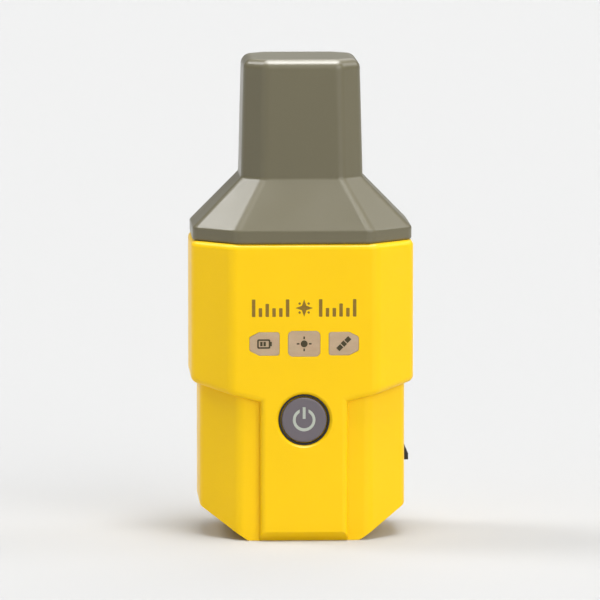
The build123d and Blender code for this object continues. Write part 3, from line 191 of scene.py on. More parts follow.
# Mix node sockets for colours, which share their names with those for plain numbers.
MIX_FIRST, MIX_SECOND, MIX_RESULT = 6, 7, 2
BEVEL_SAMPLES = 4
# How far a rounded normal agrees with the face's own: on a flat, and on a sharp edge.
FLAT_TO_SHARP = (0.995, 0.90)


class Nodes:
    """Short calls for building one material's node tree."""

    def __init__(self, name):
        self.material = bpy.data.materials.new(name)
        self.material.use_nodes = True
        self.tree = self.material.node_tree
        self.shader = self.tree.nodes["Principled BSDF"]
        self.place = self.tree.nodes.new("ShaderNodeTexCoord").outputs["Object"]

    def add(self, kind, **values):
        node = self.tree.nodes.new(kind)
        for key, value in values.items():
            setattr(node, key, value)
        return node

    def link(self, source, target):
        self.tree.links.new(source, target)

    def set(self, **values):
        """Sets constants on the shader's own sockets, named with underscores for spaces."""
        for key, value in values.items():
            self.shader.inputs[key.replace("_", " ")].default_value = value

    def stretched(self, scale):
        """Object coordinates scaled by a different amount along each axis."""
        node = self.add("ShaderNodeMapping")
        self.link(self.place, node.inputs["Vector"])
        node.inputs["Scale"].default_value = scale
        return node.outputs["Vector"]

    def noise(self, scale, detail=2.0, roughness=0.5, place=None):
        """Noise with this many features in a metre."""
        node = self.add("ShaderNodeTexNoise")
        self.link(place or self.place, node.inputs["Vector"])
        node.inputs["Scale"].default_value = scale
        node.inputs["Detail"].default_value = detail
        node.inputs["Roughness"].default_value = roughness
        return node.outputs["Fac"]

    def cells(self, scale, feature="F1"):
        """Distances within cells, with this many cells in a metre."""
        node = self.add("ShaderNodeTexVoronoi", feature=feature)
        self.link(self.place, node.inputs["Vector"])
        node.inputs["Scale"].default_value = scale
        return node.outputs["Distance"]

    def ramp(self, value, span, to=(0.0, 1.0)):
        """Maps one span of values to another, and holds its ends outside it."""
        node = self.add("ShaderNodeMapRange", clamp=True)
        self.link(value, node.inputs["Value"])
        for socket, number in zip(("From Min", "From Max", "To Min", "To Max"), (*span, *to)):
            node.inputs[socket].default_value = number
        return node.outputs["Result"]

    def maths(self, operation, first, second):
        node = self.add("ShaderNodeMath", operation=operation)
        for socket, value in zip(node.inputs, (first, second)):
            if isinstance(value, (int, float)):
                socket.default_value = value
            else:
                self.link(value, socket)
        return node.outputs["Value"]

    def mix(self, factor, first, second):
        """A colour between two others, each given as a colour or as an output."""
        node = self.add("ShaderNodeMix", data_type="RGBA")
        self.link(factor, node.inputs["Factor"])
        for index, value in ((MIX_FIRST, first), (MIX_SECOND, second)):
            if isinstance(value, tuple):
                node.inputs[index].default_value = (*value[:3], 1.0)
            else:
                self.link(value, node.inputs[index])
        return node.outputs[MIX_RESULT]

    def soft_normal(self, radius):
        """The surface's normal with its edges rounded over a small radius."""
        bevel = self.add("ShaderNodeBevel", samples=BEVEL_SAMPLES)
        bevel.inputs["Radius"].default_value = radius
        return bevel.outputs["Normal"]

    def edges(self, rounded):
        """Nearly 1 on sharp edges and 0 on flats, from a rounded normal."""
        geometry = self.add("ShaderNodeNewGeometry")
        dot = self.add("ShaderNodeVectorMath", operation="DOT_PRODUCT")
        self.link(rounded, dot.inputs[0])
        self.link(geometry.outputs["Normal"], dot.inputs[1])
        return self.ramp(dot.outputs["Value"], FLAT_TO_SHARP)

    def bump(self, height, distance, normal=None):
        node = self.add("ShaderNodeBump")
        node.inputs["Distance"].default_value = distance
        self.link(height, node.inputs["Height"])
        if normal is not None:
            self.link(normal, node.inputs["Normal"])
        self.link(node.outputs["Normal"], self.shader.inputs["Normal"])

    def colour(self, output):
        self.link(output, self.shader.inputs["Base Color"])

    def rough(self, output):
        self.link(output, self.shader.inputs["Roughness"])


def scaled(colour, factor):
    """A lighter or darker shade of a colour."""
    return tuple(min(1.0, part * factor) for part in colour)


# ------------------------------------------------------------------ materials

# The middle span of a noise's values, where nearly all of them lie.
MIDDLE = (0.3, 0.7)
# Radii over which the edges of each material look rounded.
MOULDED_EDGE = 0.30 * MM
RUBBER_EDGE = 0.35 * MM
METAL_EDGE = 0.12 * MM
LENS_EDGE = 0.35 * MM
LABEL_EDGE = 0.15 * MM
# Depths of the fine surface relief.
MOULDED_GRAIN_DEPTH = 0.010 * MM
RUBBER_PEBBLE_DEPTH = 0.016 * MM
METAL_STREAK_DEPTH = 0.006 * MM
BOARD_TRACK_DEPTH = 0.015 * MM
POUCH_CREASE_DEPTH = 0.08 * MM
FOAM_CELL_DEPTH = 0.18 * MM
LENS_GRAIN_DEPTH = 0.006 * MM
LABEL_GRAIN_DEPTH = 0.006 * MM
INK_DEPTH = 0.004 * MM
# Specular levels of the duller surfaces.
RUBBER_SPECULAR = 0.35
INK_SPECULAR = 0.35


def moulded(name, colour, rough=0.42, grain=2600.0, edge_wear_and_sheen=0.12, specular=0.5):
    """Moulded plastic: spark-eroded grain, faint clouding, smudges, and rubbed edges that are
    glossier and painted paler; the paler edge colour is partly wear and partly a painted
    highlight.
    """
    nodes = Nodes(name)
    cloud = nodes.ramp(nodes.noise(26.0, detail=3.0), MIDDLE)
    fine = nodes.noise(grain, detail=2.0, roughness=0.6)
    body = nodes.mix(cloud, scaled(colour, 0.972), scaled(colour, 1.02))
    speckle = nodes.ramp(fine, (0.35, 0.65), (0.0, 0.22))
    speckled = nodes.mix(speckle, body, scaled(colour, 0.93))
    rounded = nodes.soft_normal(MOULDED_EDGE)
    # Edges broken up by noise get a lower roughness and a paler colour: the paler colour is
    # partly wear and partly a painted highlight.
    rubbed_and_sheen = nodes.ramp(nodes.noise(420.0, detail=4.0), (0.4, 0.62), (0.2, 1.0))
    wear_and_sheen_edges = nodes.maths("MULTIPLY", nodes.edges(rounded), rubbed_and_sheen)
    paler_wear_and_sheen = nodes.maths("MULTIPLY", wear_and_sheen_edges, edge_wear_and_sheen)
    nodes.colour(nodes.mix(paler_wear_and_sheen, speckled, scaled(colour, 1.35)))
    smudge = nodes.ramp(nodes.noise(55.0, detail=3.0), (0.2, 0.8), (rough - 0.04, rough + 0.04))
    nodes.rough(nodes.maths("SUBTRACT", smudge, nodes.maths("MULTIPLY", wear_and_sheen_edges, 0.1)))
    nodes.bump(fine, MOULDED_GRAIN_DEPTH, rounded)
    nodes.set(Specular_IOR_Level=specular)
    return nodes.material


def rubber(name, colour, rough=0.62, pebble=1900.0):
    """Moulded rubber: pebbled skin with a faint dusty bloom."""
    nodes = Nodes(name)
    skin = nodes.cells(pebble, "SMOOTH_F1")
    bloom = nodes.ramp(nodes.noise(95.0, detail=5.0, roughness=0.65), (0.42, 0.75), (0.0, 0.55))
    nodes.colour(nodes.mix(bloom, colour, scaled(colour, 1.9)))
    nodes.rough(nodes.ramp(nodes.noise(60.0, detail=4.0), MIDDLE, (rough - 0.07, rough + 0.10)))
    nodes.bump(skin, RUBBER_PEBBLE_DEPTH, nodes.soft_normal(RUBBER_EDGE))
    nodes.set(Specular_IOR_Level=RUBBER_SPECULAR)
    return nodes.material


def metal(name, colour, rough=0.3, streaks=(1.0, 1.0, 18.0), dull=0.0):
    """Worked metal: tool streaks along one direction, a few dull patches, and edges brightened by
    a painted highlight.
    """
    nodes = Nodes(name)
    streak = nodes.noise(190.0, detail=5.0, roughness=0.6, place=nodes.stretched(streaks))
    patch = nodes.ramp(nodes.noise(70.0, detail=4.0), (0.45, 0.7), (0.0, 0.35 + dull))
    body = nodes.mix(nodes.ramp(streak, MIDDLE), scaled(colour, 0.90), scaled(colour, 1.06))
    dulled = nodes.mix(patch, body, scaled(colour, 0.72))
    rounded = nodes.soft_normal(METAL_EDGE)
    # A painted highlight: every sharp edge is brightened in the colour itself.
    painted_edge_highlight = nodes.maths("MULTIPLY", nodes.edges(rounded), 0.5)
    nodes.colour(nodes.mix(painted_edge_highlight, dulled, scaled(colour, 1.3)))
    nodes.rough(nodes.ramp(streak, (0.25, 0.75), (rough - 0.06, rough + 0.10)))
    nodes.bump(streak, METAL_STREAK_DEPTH, rounded)
    nodes.set(Metallic=1.0)
    return nodes.material


def track_bands(nodes):
    """Winding diagonal bands, like tracks that run side by side."""
    wave = nodes.add("ShaderNodeTexWave", wave_type="BANDS", bands_direction="DIAGONAL")
    nodes.link(nodes.place, wave.inputs["Vector"])
    settings = {"Scale": 260.0, "Distortion": 5.0, "Detail": 1.0, "Detail Scale": 0.6}
    for socket, value in settings.items():
        wave.inputs[socket].default_value = value
    return nodes.ramp(wave.outputs["Fac"], (0.62, 0.70))


def circuit_laminate():
    """Solder mask over copper tracks and planes, with plated holes showing through it."""
    nodes = Nodes("circuit_laminate")
    mask, track, plated = (0.012, 0.105, 0.038), (0.030, 0.190, 0.070), (0.60, 0.42, 0.16)
    tracks = track_bands(nodes)
    holes = nodes.ramp(nodes.cells(330.0), (0.17, 0.14))
    nodes.colour(nodes.mix(holes, nodes.mix(tracks, mask, track), plated))
    nodes.rough(nodes.ramp(nodes.noise(240.0, detail=3.0), MIDDLE, (0.20, 0.34)))
    nodes.bump(nodes.maths("ADD", tracks, holes), BOARD_TRACK_DEPTH)
    return nodes.material


def laminate_pouch():
    """Battery pouch foil: soft creases, painted shade in their dips, and a satin metal face."""
    nodes = Nodes("pouch_foil")
    dark, light = (0.50, 0.50, 0.52), (0.68, 0.68, 0.70)
    crease = nodes.noise(150.0, detail=5.0, roughness=0.55)
    ridge = nodes.cells(120.0, "DISTANCE_TO_EDGE")
    # Painted shade: the colour is darker where the crease relief dips.
    nodes.colour(nodes.mix(nodes.ramp(crease, MIDDLE), dark, light))
    nodes.rough(nodes.ramp(crease, MIDDLE, (0.26, 0.40)))
    relief = nodes.maths("ADD", crease, nodes.ramp(ridge, (0.0, 0.06)))
    nodes.bump(relief, POUCH_CREASE_DEPTH)
    nodes.set(Metallic=0.85)
    return nodes.material


def foam_pad():
    """Closed-cell foam: open cut cells all over, with painted shade darkening the middle of each
    cell.
    """
    nodes = Nodes("foam_pad")
    # The dark cell colour is painted shade, darkest in the middle of each cut cell where the
    # relief dips.
    shaded_hollow, wall = (0.035, 0.035, 0.036), (0.15, 0.15, 0.15)
    cell = nodes.cells(1500.0)
    nodes.colour(nodes.mix(nodes.ramp(cell, (0.1, 0.6)), shaded_hollow, wall))
    nodes.rough(nodes.ramp(nodes.noise(300.0, detail=3.0), MIDDLE, (0.82, 0.98)))
    nodes.bump(cell, FOAM_CELL_DEPTH)
    return nodes.material


def light_guide():
    """Translucent beige light guide: milky depth with faint flow lines."""
    nodes = Nodes("light_guide")
    deep, pale, fleck = (0.46, 0.325, 0.20), (0.545, 0.395, 0.255), (0.40, 0.30, 0.19)
    along = nodes.stretched((1.0, 1.0, 3.0))
    flow = nodes.noise(120.0, detail=4.0, roughness=0.6, place=along)
    grain = nodes.noise(2400.0, detail=2.0)
    milk = nodes.mix(nodes.ramp(flow, MIDDLE), deep, pale)
    nodes.colour(nodes.mix(nodes.ramp(grain, (0.4, 0.7), (0.0, 0.25)), milk, fleck))
    nodes.rough(nodes.ramp(nodes.noise(80.0, detail=4.0), MIDDLE, (0.26, 0.38)))
    nodes.bump(grain, LENS_GRAIN_DEPTH, nodes.soft_normal(LENS_EDGE))
    nodes.set(Subsurface_Weight=0.25, Subsurface_Scale=0.6 * MM)
    return nodes.material


def label_film():
    """Blank satin polyester: brushed grain, faint handling marks."""
    nodes = Nodes("label_film")
    dark, light, handled = (0.40, 0.40, 0.395), (0.50, 0.50, 0.49), (0.33, 0.33, 0.32)
    brushed = nodes.stretched((0.06, 1.0, 1.0))
    grain = nodes.noise(900.0, detail=4.0, roughness=0.6, place=brushed)
    mark = nodes.ramp(nodes.noise(140.0, detail=5.0, roughness=0.7), (0.55, 0.75), (0.0, 0.35))
    satin = nodes.mix(nodes.ramp(grain, MIDDLE), dark, light)
    nodes.colour(nodes.mix(mark, satin, handled))
    nodes.rough(nodes.ramp(grain, MIDDLE, (0.30, 0.44)))
    nodes.bump(grain, LABEL_GRAIN_DEPTH, nodes.soft_normal(LABEL_EDGE))
    nodes.set(Metallic=0.35)
    return nodes.material


def printed_ink(name, colour):
    """Pad-printed ink: slightly uneven cover with a soft sheen."""
    nodes = Nodes(name)
    cover = nodes.noise(1300.0, detail=3.0, roughness=0.6)
    thin = nodes.ramp(cover, (0.35, 0.7), (0.0, 0.7))
    nodes.colour(nodes.mix(thin, colour, scaled(colour, 1.35)))
    nodes.rough(nodes.ramp(nodes.noise(500.0, detail=3.0), MIDDLE, (0.40, 0.56)))
    nodes.bump(cover, INK_DEPTH)
    nodes.set(Specular_IOR_Level=INK_SPECULAR)
    return nodes.material


MATERIALS = {
    "yellow_plastic": moulded(
        "yellow_moulding", (0.95, 0.59, 0.0008), rough=0.36, specular=0.24
    ),
    "grey_plastic": moulded("grey_moulding", (0.142, 0.126, 0.073), rough=0.31, edge_wear_and_sheen=0.18),
    "dark_plastic": moulded("dark_moulding", (0.135, 0.115, 0.130), rough=0.42),
    "icon_white": moulded("icon_moulding", (0.46, 0.49, 0.42), rough=0.40),
    "inner_plastic": moulded(
        "chassis_moulding", (0.035, 0.035, 0.038), rough=0.50, grain=1500.0
    ),
    "white_plastic": moulded("natural_moulding", (0.72, 0.71, 0.66), rough=0.38),
    "chip_black": moulded("package_moulding", (0.020, 0.020, 0.022), rough=0.48, grain=4200.0),
    "dark_rubber": rubber("door_rubber", (0.020, 0.019, 0.019)),
    "seal_rubber": rubber("seal_silicone", (0.045, 0.045, 0.046), rough=0.5),
    "cable_jacket": rubber("coax_jacket", (0.030, 0.030, 0.032), rough=0.55, pebble=900.0),
    "brass": metal("turned_brass", (0.78, 0.55, 0.22), rough=0.26),
    "screw_steel": metal(
        "screw_steel", (0.56, 0.56, 0.57), rough=0.28, streaks=(1.0, 1.0, 8.0)
    ),
    "can_steel": metal(
        "tinned_sheet", (0.66, 0.66, 0.64), rough=0.34, streaks=(9.0, 1.0, 1.0), dull=0.1
    ),
    "copper": metal("copper_strip", (0.80, 0.40, 0.24), rough=0.30, dull=0.25),
    "aluminium_sheet": metal(
        "rolled_aluminium", (0.78, 0.78, 0.79), rough=0.36, streaks=(14.0, 1.0, 1.0)
    ),
    "board_green": circuit_laminate(),
    "battery_pouch": laminate_pouch(),
    "foam_grey": foam_pad(),
    "light_lens": light_guide(),
    "label_film": label_film(),
    "print_ink": printed_ink("print_gold", (0.22, 0.125, 0.010)),
}
ICON_INK = printed_ink("print_brown", (0.045, 0.034, 0.012))
LABEL_INK = printed_ink("print_black", (0.020, 0.020, 0.022))


def paint_frame_nodes():
    """Gives every carried-over node the material of its slot."""
    for row in frame["record"]["subparts"]:
        shown = frame["nodes"][row["node"]]
        for holder in shown.material_slots:
            holder.material = MATERIALS[row["material_slot"]]


paint_frame_nodes()


# ------------------------------------------------------------------ mesh helpers

CORNER_STEPS = 6
ROUND_STEPS = 32
STAR_POINTS = 4
SHARP_ANGLE = math.radians(35)


class Face:
    """A flat place on the receiver: its origin, two directions along it, and the way out."""

    def __init__(self, origin, across, up):
        self.origin = Vector(origin)
        self.across = Vector(across)
        self.up = Vector(up)
        self.out = self.across.cross(self.up)

    def at(self, x, y, height):
        return self.origin + self.across * x + self.up * y + self.out * height

    def loop(self, shape, outline, height):
        """New vertices along an outline, at one height over the face."""
        return [shape.verts.new(self.at(x, y, height)) for x, y in outline]


def front_face(x, y, z):
    return Face((x, y, z), (1, 0, 0), (0, 0, 1))


def back_face(x, y, z):
    return Face((x, y, z), (-1, 0, 0), (0, 0, 1))


def right_face(x, y, z):
    return Face((x, y, z), (0, 1, 0), (0, 0, 1))


def skin(shape, loops):
    """Joins each closed loop of vertices to the next one with a strip of faces."""
    for first, second in zip(loops, loops[1:]):
        for here in range(len(first)):
            after = (here + 1) % len(first)
            shape.faces.new((first[here], first[after], second[after], second[here]))


def prism(shape, face, outline, bottom, top):
    """A flat-topped shape with this outline, from one height over the face to another."""
    lower = face.loop(shape, outline, bottom)
    upper = face.loop(shape, outline, top)
    shape.faces.new(upper)
    shape.faces.new(reversed(lower))
    skin(shape, [lower, upper])


def band(shape, face, outer, inner, bottom, top):
    """The band between two outlines with the same number of points."""
    section = ((outer, bottom), (outer, top), (inner, top), (inner, bottom))
    loops = [face.loop(shape, outline, height) for outline, height in section]
    skin(shape, loops + loops[:1])


def box_outline(x, y, width, height, corner=0.0, steps=CORNER_STEPS):
    """A rectangle about a point, with its corners rounded by arcs."""
    points = []
    for quarter, (side_x, side_y) in enumerate(((1, 1), (-1, 1), (-1, -1), (1, -1))):
        centre_x = x + side_x * (width / 2 - corner)
        centre_y = y + side_y * (height / 2 - corner)
        if corner == 0.0:
            points.append((centre_x, centre_y))
            continue
        for step in range(steps + 1):
            angle = math.radians(90 * (quarter + step / steps))
            points.append(
                (centre_x + corner * math.cos(angle), centre_y + corner * math.sin(angle))
            )
    return points


def round_outline(x, y, radius, steps=ROUND_STEPS):
    """A circle about a point."""
    angles = [2 * math.pi * step / steps for step in range(steps)]
    return [(x + radius * math.cos(angle), y + radius * math.sin(angle)) for angle in angles]


def star_outline(x, y, long, short):
    """A star with its points along the axes."""
    outline = []
    for step in range(2 * STAR_POINTS):
        radius = long if step % 2 == 0 else short
        angle = math.pi * step / STAR_POINTS
        outline.append((x + radius * math.cos(angle), y + radius * math.sin(angle)))
    return outline


def turned_outline(outline, degrees):
    """An outline turned about the middle of its face."""
    turn = math.radians(degrees)
    cosine, sine = math.cos(turn), math.sin(turn)
    return [(x * cosine - y * sine, x * sine + y * cosine) for x, y in outline]


def make_piece(name, shape, body, material, smooth=True):
    """Turns a bmesh into a piece that rides on a body and takes its finish from a slot."""
    bmesh.ops.recalc_face_normals(shape, faces=shape.faces[:])
    mesh = bpy.data.meshes.new(name)
    shape.to_mesh(mesh)
    shape.free()
    made = add_object(name, mesh)
    mesh.materials.append(material)
    if smooth:
        mesh.shade_smooth()
        mesh.set_sharp_from_angle(angle=SHARP_ANGLE)
    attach(made, body)
    return made


# ------------------------------------------------------------------ prints on the front

PRINT_SINK = 0.02 * MM
PRINT_PROUD = 0.02 * MM
MARK_HEIGHT = 4.8 * MM
MARK_ABOVE_LIGHTS = 9.8 * MM
# Shares of the mark's height: the star's two radii, and the dots between its points.
STAR_LONG_SHARE = 0.5
STAR_SHORT_SHARE = 0.18
DOT_PLACE_SHARE = 0.36
DOT_RADIUS_SHARE = 0.07
DOT_STEPS = 16
TICK_FIRST = 4.5 * MM
TICK_PITCH = 1.85 * MM
TICK_WIDTH = 0.95 * MM
TICK_CORNER = 0.2 * MM
TICK_CORNER_STEPS = 3
TICK_HEIGHTS = (1.0, 0.5, 0.5, 0.75, 0.5, 1.0)


def ink_in(shape, face, outline):
    """A thin print that stands barely proud of the face under it."""
    prism(shape, face, outline, -PRINT_SINK, PRINT_PROUD)


def ink_band(shape, face, outer, inner):
    """A thin printed line between two outlines."""
    band(shape, face, outer, inner, -PRINT_SINK, PRINT_PROUD)


def star_outlines():
    """A compass star with a dot between each two of its points."""
    outlines = [
        star_outline(0.0, 0.0, MARK_HEIGHT * STAR_LONG_SHARE, MARK_HEIGHT * STAR_SHORT_SHARE)
    ]
    place = MARK_HEIGHT * DOT_PLACE_SHARE
    for corner in range(STAR_POINTS):
        angle = math.pi * (2 * corner + 1) / STAR_POINTS
        x, y = place * math.cos(angle), place * math.sin(angle)
        outlines.append(round_outline(x, y, MARK_HEIGHT * DOT_RADIUS_SHARE, DOT_STEPS))
    return outlines


def scale_outlines():
    """Two short graduated scales, one on each side of the star."""
    outlines = []
    for side in (-1, 1):
        for step, share in enumerate(TICK_HEIGHTS):
            x = side * (TICK_FIRST + step * TICK_PITCH)
            height = MARK_HEIGHT * share
            y = (height - MARK_HEIGHT) / 2
            outlines.append(box_outline(x, y, TICK_WIDTH, height, TICK_CORNER, TICK_CORNER_STEPS))
    return outlines


def make_front_mark():
    """A generic mark: a compass star between two short graduated scales."""
    window_low, window_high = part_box("light_window_centre")
    middle_z = (window_low.z + window_high.z) / 2 + MARK_ABOVE_LIGHTS
    face = front_face(0.0, window_low.y, middle_z)
    shape = bmesh.new()
    for outline in star_outlines() + scale_outlines():
        ink_in(shape, face, outline)
    make_piece("front_mark", shape, RECEIVER, MATERIALS["print_ink"], smooth=False)


# Sizes are width and height, and the corner radius where there is one.
BATTERY_CASE = (3.6 * MM, 2.6 * MM, 0.45 * MM)
BATTERY_ROOM = (2.7 * MM, 1.7 * MM, 0.15 * MM)
BATTERY_CASE_AT = -0.2 * MM
BATTERY_BAR = (0.65 * MM, 1.2 * MM)
BATTERY_BARS_AT = (-0.85 * MM, 0.05 * MM)
BATTERY_CAP = (0.4 * MM, 1.2 * MM)
BATTERY_CAP_AT = 1.8 * MM
FIX_DOT_RADIUS = 0.95 * MM
FIX_TICK = (0.75 * MM, 0.42 * MM)
FIX_TICK_AT = 1.65 * MM
SATELLITE_BODY = (1.1 * MM, 1.4 * MM)
SATELLITE_PANEL = (1.5 * MM, 1.25 * MM)
SATELLITE_PANEL_AT = 1.55 * MM
SATELLITE_SLANT = 45


def battery_sign(shape, face):
    """A battery lying down: a rounded case, two charge bars and its end cap."""
    outer = box_outline(BATTERY_CASE_AT, 0, *BATTERY_CASE)
    inner = box_outline(BATTERY_CASE_AT, 0, *BATTERY_ROOM)
    ink_band(shape, face, outer, inner)
    for x in BATTERY_BARS_AT:
        ink_in(shape, face, box_outline(x, 0, *BATTERY_BAR))
    ink_in(shape, face, box_outline(BATTERY_CAP_AT, 0, *BATTERY_CAP))


def fix_sign(shape, face):
    """A position fix: a dot with four short ticks round it."""
    ink_in(shape, face, round_outline(0, 0, FIX_DOT_RADIUS))
    tick = box_outline(FIX_TICK_AT, 0, *FIX_TICK)
    for quarter in range(4):
        ink_in(shape, face, turned_outline(tick, 90 * quarter))


def satellite_sign(shape, face):
    """A satellite on the slant: a square body between two panels."""
    ink_in(shape, face, turned_outline(box_outline(0, 0, *SATELLITE_BODY), SATELLITE_SLANT))
    for side in (-1, 1):
        panel = box_outline(side * SATELLITE_PANEL_AT, 0, *SATELLITE_PANEL)
        ink_in(shape, face, turned_outline(panel, SATELLITE_SLANT))


def make_light_signs():
    """One printed sign in the middle of each status light."""
    signs = {"left": battery_sign, "centre": fix_sign, "right": satellite_sign}
    for place, draw in signs.items():
        window_low, window_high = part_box(f"light_window_{place}")
        middle = (window_low + window_high) / 2
        shape = bmesh.new()
        draw(shape, front_face(middle.x, window_low.y, middle.z))
        make_piece(f"light_sign_{place}", shape, RECEIVER, ICON_INK, smooth=False)


make_front_mark()
make_light_signs()


# ------------------------------------------------------------------ pole insert

INSERT_ANGLES = 96
INSERT_BORE_RADIUS = 2.6 * MM
INSERT_BORE_TOP = 7.6 * MM
INSERT_CHAMFER = 0.5 * MM
# Where the flat ends' first rings lie: in the bore's roof, and on the insert's top.
ROOF_RING_SHARE = 0.5
TOP_RING_SHARE = 0.4
THREAD_PITCH = 1.27 * MM
THREAD_DEPTH = 0.52 * MM
THREAD_ROWS_PER_TURN = 12
# Shares of the groove's depth: its slope, the flat left at its crest, and its start at the base.
THREAD_SLOPE = 1.25
THREAD_CREST = 0.12
THREAD_START = 0.35
KNURLS = 30
KNURL_DEPTH = 0.18 * MM
KNURL_ROWS = 24


def thread_radius(z, angle):
    """The bore's radius: a triangular thread that fades out at both ends."""
    phase = (z / THREAD_PITCH - angle / (2 * math.pi)) % 1.0
    ridge = THREAD_SLOPE * (1.0 - abs(2 * phase - 1.0)) - THREAD_CREST
    groove = min(1.0, max(0.0, ridge))
    to_top = (INSERT_BORE_TOP - z) / THREAD_PITCH
    fade = min(1.0, to_top, THREAD_START + z / THREAD_PITCH)
    return INSERT_BORE_RADIUS + THREAD_DEPTH * groove * max(0.0, fade)


def knurl_radius(radius, z, angle):
    """The outside radius: crossed grooves that bite into the plastic."""
    turn = KNURLS * angle
    rise = KNURLS * z / radius
    ridge = 0.5 - 0.25 * (abs(math.sin((turn + rise) / 2)) + abs(math.sin((turn - rise) / 2)))
    return radius - KNURL_DEPTH * 2 * ridge


def evenly(first, last, steps):
    """Numbers from first to last in even steps, with both ends."""
    return [first + (last - first) * step / steps for step in range(steps + 1)]


def insert_rows(radius, top):
    """The insert's section, down its bore and up its outside: (height, radius at an angle)."""
    rows = [(INSERT_BORE_TOP, lambda angle: INSERT_BORE_RADIUS * ROOF_RING_SHARE)]
    turns = (INSERT_BORE_TOP - INSERT_CHAMFER) / THREAD_PITCH
    for z in evenly(INSERT_BORE_TOP, INSERT_CHAMFER, int(turns * THREAD_ROWS_PER_TURN)):
        rows.append((z, lambda angle, z=z: thread_radius(z, angle)))
    rows.append((0.0, lambda angle: INSERT_BORE_RADIUS + THREAD_DEPTH))
    rows.append((0.0, lambda angle: radius - INSERT_CHAMFER))
    for z in evenly(INSERT_CHAMFER, top - INSERT_CHAMFER, KNURL_ROWS):
        rows.append((z, lambda angle, z=z: knurl_radius(radius, z, angle)))
    rows.append((top, lambda angle: radius - INSERT_CHAMFER))
    rows.append((top, lambda angle: radius * TOP_RING_SHARE))
    return rows


def make_pole_insert():
    """The turned insert in the base, with its thread cut inside and its knurl outside."""
    insert_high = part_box("pole_insert")[1]
    shape = bmesh.new()
    angles = [2 * math.pi * step / INSERT_ANGLES for step in range(INSERT_ANGLES)]
    loops = []
    for z, radius_at in insert_rows(insert_high.x, insert_high.z):
        places = [(radius_at(angle), angle) for angle in angles]
        loops.append(
            [shape.verts.new((out * math.cos(a), out * math.sin(a), z)) for out, a in places]
        )
    skin(shape, loops)
    for loop in (loops[0], loops[-1]):
        shape.faces.new(loop)
    made = make_piece("pole_insert_threaded", shape, RECEIVER, MATERIALS["brass"])
    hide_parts("pole_insert")


make_pole_insert()


# ------------------------------------------------------------------ port door

DOOR_EDGE_ROUND = 0.35 * MM
DOOR_EDGE_SEGMENTS = 3
SAME_PLACE = 0.001 * MM
FLAT_ANGLE = math.radians(1.0)
HARD_ANGLE = math.radians(40)
RIB_COUNT = 4
RIB_PITCH = 1.5 * MM
RIB_WIDTH = 0.7 * MM
RIB_RAISE = 0.28 * MM
RIB_SHARE = 0.62
RIB_CORNER = RIB_WIDTH / 2 - 0.01 * MM
RIB_CORNER_STEPS = 4
RIB_EDGE_ROUND = 0.08 * MM
FRAME_WIDTH = 0.6 * MM
FRAME_INSET = 1.3 * MM
FRAME_RAISE = 0.18 * MM
FRAME_CORNER = 1.2 * MM
FRAME_INNER_CORNER = 0.7 * MM
FRAME_BELOW_MIDDLE = 2.6 * MM
FRAME_BELOW_HINGE = 2.2 * MM
# Edges that lie further out than this from the door's face are on top of the relief.
RELIEF_TOP = 0.1 * MM


def softened_copy(node, name, width, body, slot):
    """Stands in for a node with the same shape, its hard edges rounded over."""
    shape = bmesh.new()
    shape.from_mesh(frame["nodes"][node].data)
    bmesh.ops.remove_doubles(shape, verts=shape.verts[:], dist=SAME_PLACE)
    bmesh.ops.dissolve_limit(
        shape, angle_limit=FLAT_ANGLE, verts=shape.verts[:], edges=shape.edges[:]
    )
    hard = [
        edge for edge in shape.edges
        if len(edge.link_faces) == 2 and edge.calc_face_angle() > HARD_ANGLE
    ]
    bmesh.ops.bevel(
        shape, geom=hard, offset=width, offset_type="OFFSET", segments=DOOR_EDGE_SEGMENTS,
        profile=0.5, affect="EDGES", clamp_overlap=True,
    )
    made = make_piece(name, shape, body, MATERIALS[slot])
    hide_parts(node)


def door_face_x():
    """How far out the door's flat outer face lies, above its pull lip."""
    door_low, door_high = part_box("port_door")
    middle_z = (door_low.z + door_high.z) / 2
    corners = frame["nodes"]["port_door"].data.vertices
    return max(corner.co.x for corner in corners if corner.co.z > middle_z)


def add_door_frame(shape, face, width, height):
    """The raised frame round the ribs."""
    outer = box_outline(0, 0, width, height, FRAME_CORNER)
    inner = box_outline(
        0, 0, width - 2 * FRAME_WIDTH, height - 2 * FRAME_WIDTH, FRAME_INNER_CORNER
    )
    band(shape, face, outer, inner, -FRAME_RAISE, FRAME_RAISE)


def add_door_ribs(shape, face, width):
    """The finger ribs, one above the other."""
    for step in range(RIB_COUNT):
        y = (step - (RIB_COUNT - 1) / 2) * RIB_PITCH
        rib = box_outline(0, y, width, RIB_WIDTH, RIB_CORNER, RIB_CORNER_STEPS)
        prism(shape, face, rib, -RIB_RAISE, RIB_RAISE)


def make_door_details():
    """A raised frame and finger ribs moulded on the door's outer face."""
    door_low, door_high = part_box("port_door")
    width = door_high.y - door_low.y
    frame_low = (door_low.z + door_high.z) / 2 - FRAME_BELOW_MIDDLE
    frame_high = door_high.z - FRAME_BELOW_HINGE
    face_x = door_face_x()
    face = right_face(face_x, 0.0, (frame_low + frame_high) / 2)
    shape = bmesh.new()
    add_door_frame(shape, face, width - 2 * FRAME_INSET, frame_high - frame_low)
    add_door_ribs(shape, face, width * RIB_SHARE)
    tops = [
        edge for edge in shape.edges
        if all(corner.co.x - face_x > RELIEF_TOP for corner in edge.verts)
    ]
    bmesh.ops.bevel(
        shape, geom=tops, offset=RIB_EDGE_ROUND, segments=2, profile=0.5, affect="EDGES"
    )
    make_piece("door_ribs", shape, DOOR, MATERIALS["dark_rubber"])


softened_copy("port_door", "port_door_moulding", DOOR_EDGE_ROUND, DOOR, "dark_rubber")
make_door_details()


# ------------------------------------------------------------------ socket contacts

CONTACT_COUNT = 12
CONTACT_PITCH = 0.5 * MM
CONTACT_WIDTH = 0.25 * MM
CONTACT_LENGTH = 3.6 * MM
CONTACT_CORNER = 0.08 * MM
CONTACT_CORNER_STEPS = 2
CONTACT_END = 0.9 * MM
CONTACT_RAISE = 0.03 * MM
TONGUE_HALF = 0.35 * MM


